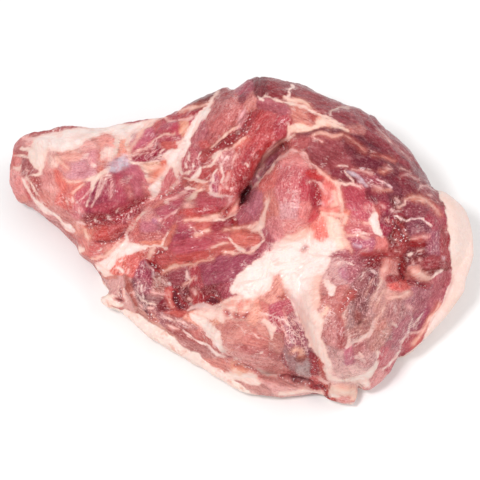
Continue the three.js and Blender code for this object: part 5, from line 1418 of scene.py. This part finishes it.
# Fat: it thins to a translucent peach at its edge, with seams, dimples and pale fibres in it.
THIN_FAT = (246, 192, 176)
PINKER_FAT = (245, 196, 182)
DIMPLES = (236, 200, 188)
SEAMS = (238, 184, 172)
PALE_FIBRES = (250, 232, 224)
softness = painted("fat softness")
sharpness = math("MULTIPLY_ADD", softness, -0.5, 1.0)
fat_here = math("MULTIPLY", math("ADD", painted("fat depth"), ragged), sharpness)
fat_cover = ramp(fat_here, -0.7, 0.6)
fat = painted("fat colour", "Color")
thin_fat = blended(1.0, fat, THIN_FAT, "MULTIPLY")
lean = blended(math("MULTIPLY", ramp(fat_here, -2.0, 0.0, 0, 0.42), softness), lean, thin_fat)
fat = layered(fat,
              (fat_here, 0.0, 2.0, 0.35, 0, thin_fat),
              (broad, 0.48, 0.7, 0, 0.45, PINKER_FAT),
              (fine, 0.4, 0.6, 0.2, 0, DIMPLES),
              (streaks, 0.48, 0.34, 0, 0.55, SEAMS),
              (fibres, 0.5, 0.7, 0, 0.35, PALE_FIBRES))

# Rind: pale skin, mottled a little pinker and yellower, with blotches and lumps where it is uneven.
RIND_COLOUR = (240, 213, 204)
MOTTLE = (236, 200, 186)
BLOTCH = (226, 164, 146)
PALE_LUMP = (250, 232, 218)
PORES = (224, 192, 182)
rind_cover = ramp(math("ADD", painted("rind depth"), math("MULTIPLY", ragged, 0.7)), -0.4, 0.6)
uneven = painted("uneven rind")
rind = layered(RIND_COLOUR, (grains(anywhere, size=16, detail=3), 0.45, 0.62, 0, 0.55, MOTTLE))
blotches = ramp(grains(anywhere, size=6, detail=4), 0.5, 0.64, 0, 0.75)
rind = blended(math("MULTIPLY", blotches, uneven), rind, BLOTCH)
pale_lumps = ramp(grains(anywhere, size=3.4, detail=2), 0.52, 0.62, 0, 0.5)
rind = blended(math("MULTIPLY", pale_lumps, uneven), rind, PALE_LUMP)
rind = layered(rind, (grains(anywhere, size=2.2, detail=2), 0.5, 0.7, 0, 0.3, PORES))
surface = blended(fat_cover, lean, fat)
surface = blended(rind_cover, surface, rind)

# Hollows: blood gathers round them, their bottom is darkened with painted shade and blood, and pale painted
# highlights, glints of wet, lie along their lips.
BLOOD_COLOUR = (190, 58, 62)
hollow_here = math("ADD", painted("hollow depth"), ragged)
surface = layered(surface,
                  (hollow_here, -2.4, -0.4, 0, 0.4, BLOOD_COLOUR),
                  (hollow_here, -1.0, 1.8, 0, 0.9, HOLLOW_SHADE_AND_BLOOD))
# Painted highlights: pale glints of wet along the hollows' lips.
painted_glints = ramp(grains(anywhere, size=1.6, detail=1), 0.61, 0.69)
painted_glints = math("MULTIPLY", painted_glints, ramp(hollow_here, -3.2, -0.8, 0, 0.7))
surface = blended(painted_glints, surface, FLECK_AND_GLINT_COLOUR)
tree.links.new(surface, skin_shader.inputs["Base Color"])

# Lean is glossier than fat and rind, so less rough, and its fibres stand out in the bump.
BUMP_HEIGHT = 1 * MM
BUMP_STRENGTH = 0.85
soft_parts = math("MAXIMUM", fat_cover, rind_cover)
wet_roughness = math("ADD", ramp(soft_parts, 0, 1, 0.3, 0.54), ramp(fine, 0.3, 0.7, -0.08, 0.1))
tree.links.new(wet_roughness, skin_shader.inputs["Roughness"])
fibre_share = math("MULTIPLY_ADD", marbled, -0.8, 1.0)
lean_bumps = math("MULTIPLY", math("SUBTRACT", 1.0, soft_parts), math("MULTIPLY", fibres, fibre_share))
bumps = math("ADD", math("MULTIPLY", lean_bumps, 0.6), math("MULTIPLY", fine, 0.55))
bumps = math("ADD", bumps, math("MULTIPLY", tiny, ramp(soft_parts, 0, 1, 0.55, 0.12)))
bumps = math("ADD", bumps, math("MULTIPLY", math("MULTIPLY", fat_cover, fibres), 0.3))
bump = add_node("Bump", {"Height": bumps, "Strength": BUMP_STRENGTH, "Distance": BUMP_HEIGHT})
tree.links.new(bump.outputs[0], skin_shader.inputs["Normal"])
# Juice gives it a thin coat, and light sinks a little way in and comes out redder.
for socket, value in {"Specular IOR Level": 0.17, "Coat Weight": 0.16, "Coat Roughness": 0.12,
                      "Subsurface Weight": 0.12, "Subsurface Radius": (1.0, 0.35, 0.2),
                      "Subsurface Scale": 4 * MM}.items():
    skin_shader.inputs[socket].default_value = value
mesh.materials.append(flesh)

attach(butt, "root")
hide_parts("pork_butt")

# THE SET
# The joint lies on a plain pale floor in a white room, under two soft lights. The camera looks down at it
# from 60 degrees up on the near side.
FLOOR = 4
FLOOR_COLOUR = (0.92, 0.92, 0.92, 1)
FLOOR_ROUGHNESS = 0.9
ROOM_COLOUR = (1, 1, 1, 1)
ROOM_LIGHT = 0.66
floor_mesh = bpy.data.meshes.new("floor")
floor_mesh.from_pydata([(-FLOOR, -FLOOR, 0), (FLOOR, -FLOOR, 0), (FLOOR, FLOOR, 0), (-FLOOR, FLOOR, 0)], [],
                       [(0, 1, 2, 3)])
floor = bpy.data.objects.new("floor", floor_mesh)
bpy.context.collection.objects.link(floor)
floor_paint = bpy.data.materials.new("pale floor")
floor_paint.use_nodes = True
floor_shader = floor_paint.node_tree.nodes["Principled BSDF"]
floor_shader.inputs["Base Color"].default_value = FLOOR_COLOUR
floor_shader.inputs["Roughness"].default_value = FLOOR_ROUGHNESS
floor_mesh.materials.append(floor_paint)

world = bpy.data.worlds.new("studio")
world.use_nodes = True
world.node_tree.nodes["Background"].inputs["Color"].default_value = ROOM_COLOUR
world.node_tree.nodes["Background"].inputs["Strength"].default_value = ROOM_LIGHT
bpy.context.scene.world = world
bpy.context.scene.view_settings.view_transform = "Standard"


def softbox(name, place, power, size):
    """A square area light at this place, turned to the middle of the joint."""
    light = bpy.data.lights.new(name, "AREA")
    light.energy = power
    light.size = size
    holder = bpy.data.objects.new(name, light)
    holder.location = place
    holder.rotation_mode = "QUATERNION"
    holder.rotation_quaternion = (-holder.location).to_track_quat("-Z", "Y")
    bpy.context.collection.objects.link(holder)


softbox("over the near left", place=(-0.35, -0.45, 1.25), power=9, size=0.24)
softbox("over the right", place=(0.9, 0.1, 1.0), power=4, size=0.8)

# The camera stands at the drawing's eye, so that its picture is the drawing.
IMAGE_PIXELS = 480
MM_PER_PIXEL = 0.7
SENSOR = 36.0
camera_data = bpy.data.cameras.new("camera")
camera_data.sensor_width = SENSOR
camera_data.lens = SENSOR * EYE_DISTANCE / (IMAGE_PIXELS * MM_PER_PIXEL)
camera = bpy.data.objects.new("camera", camera_data)
toward_eye = np.array([0, -np.cos(VIEW_ELEVATION), np.sin(VIEW_ELEVATION)])
view_middle = np.array([shift[0], shift[1], VIEW_HEIGHT])
camera.location = (view_middle + EYE_DISTANCE * toward_eye) * MM
camera.rotation_euler = (np.pi / 2 - VIEW_ELEVATION, 0, 0)
bpy.context.collection.objects.link(camera)
bpy.context.scene.camera = camera
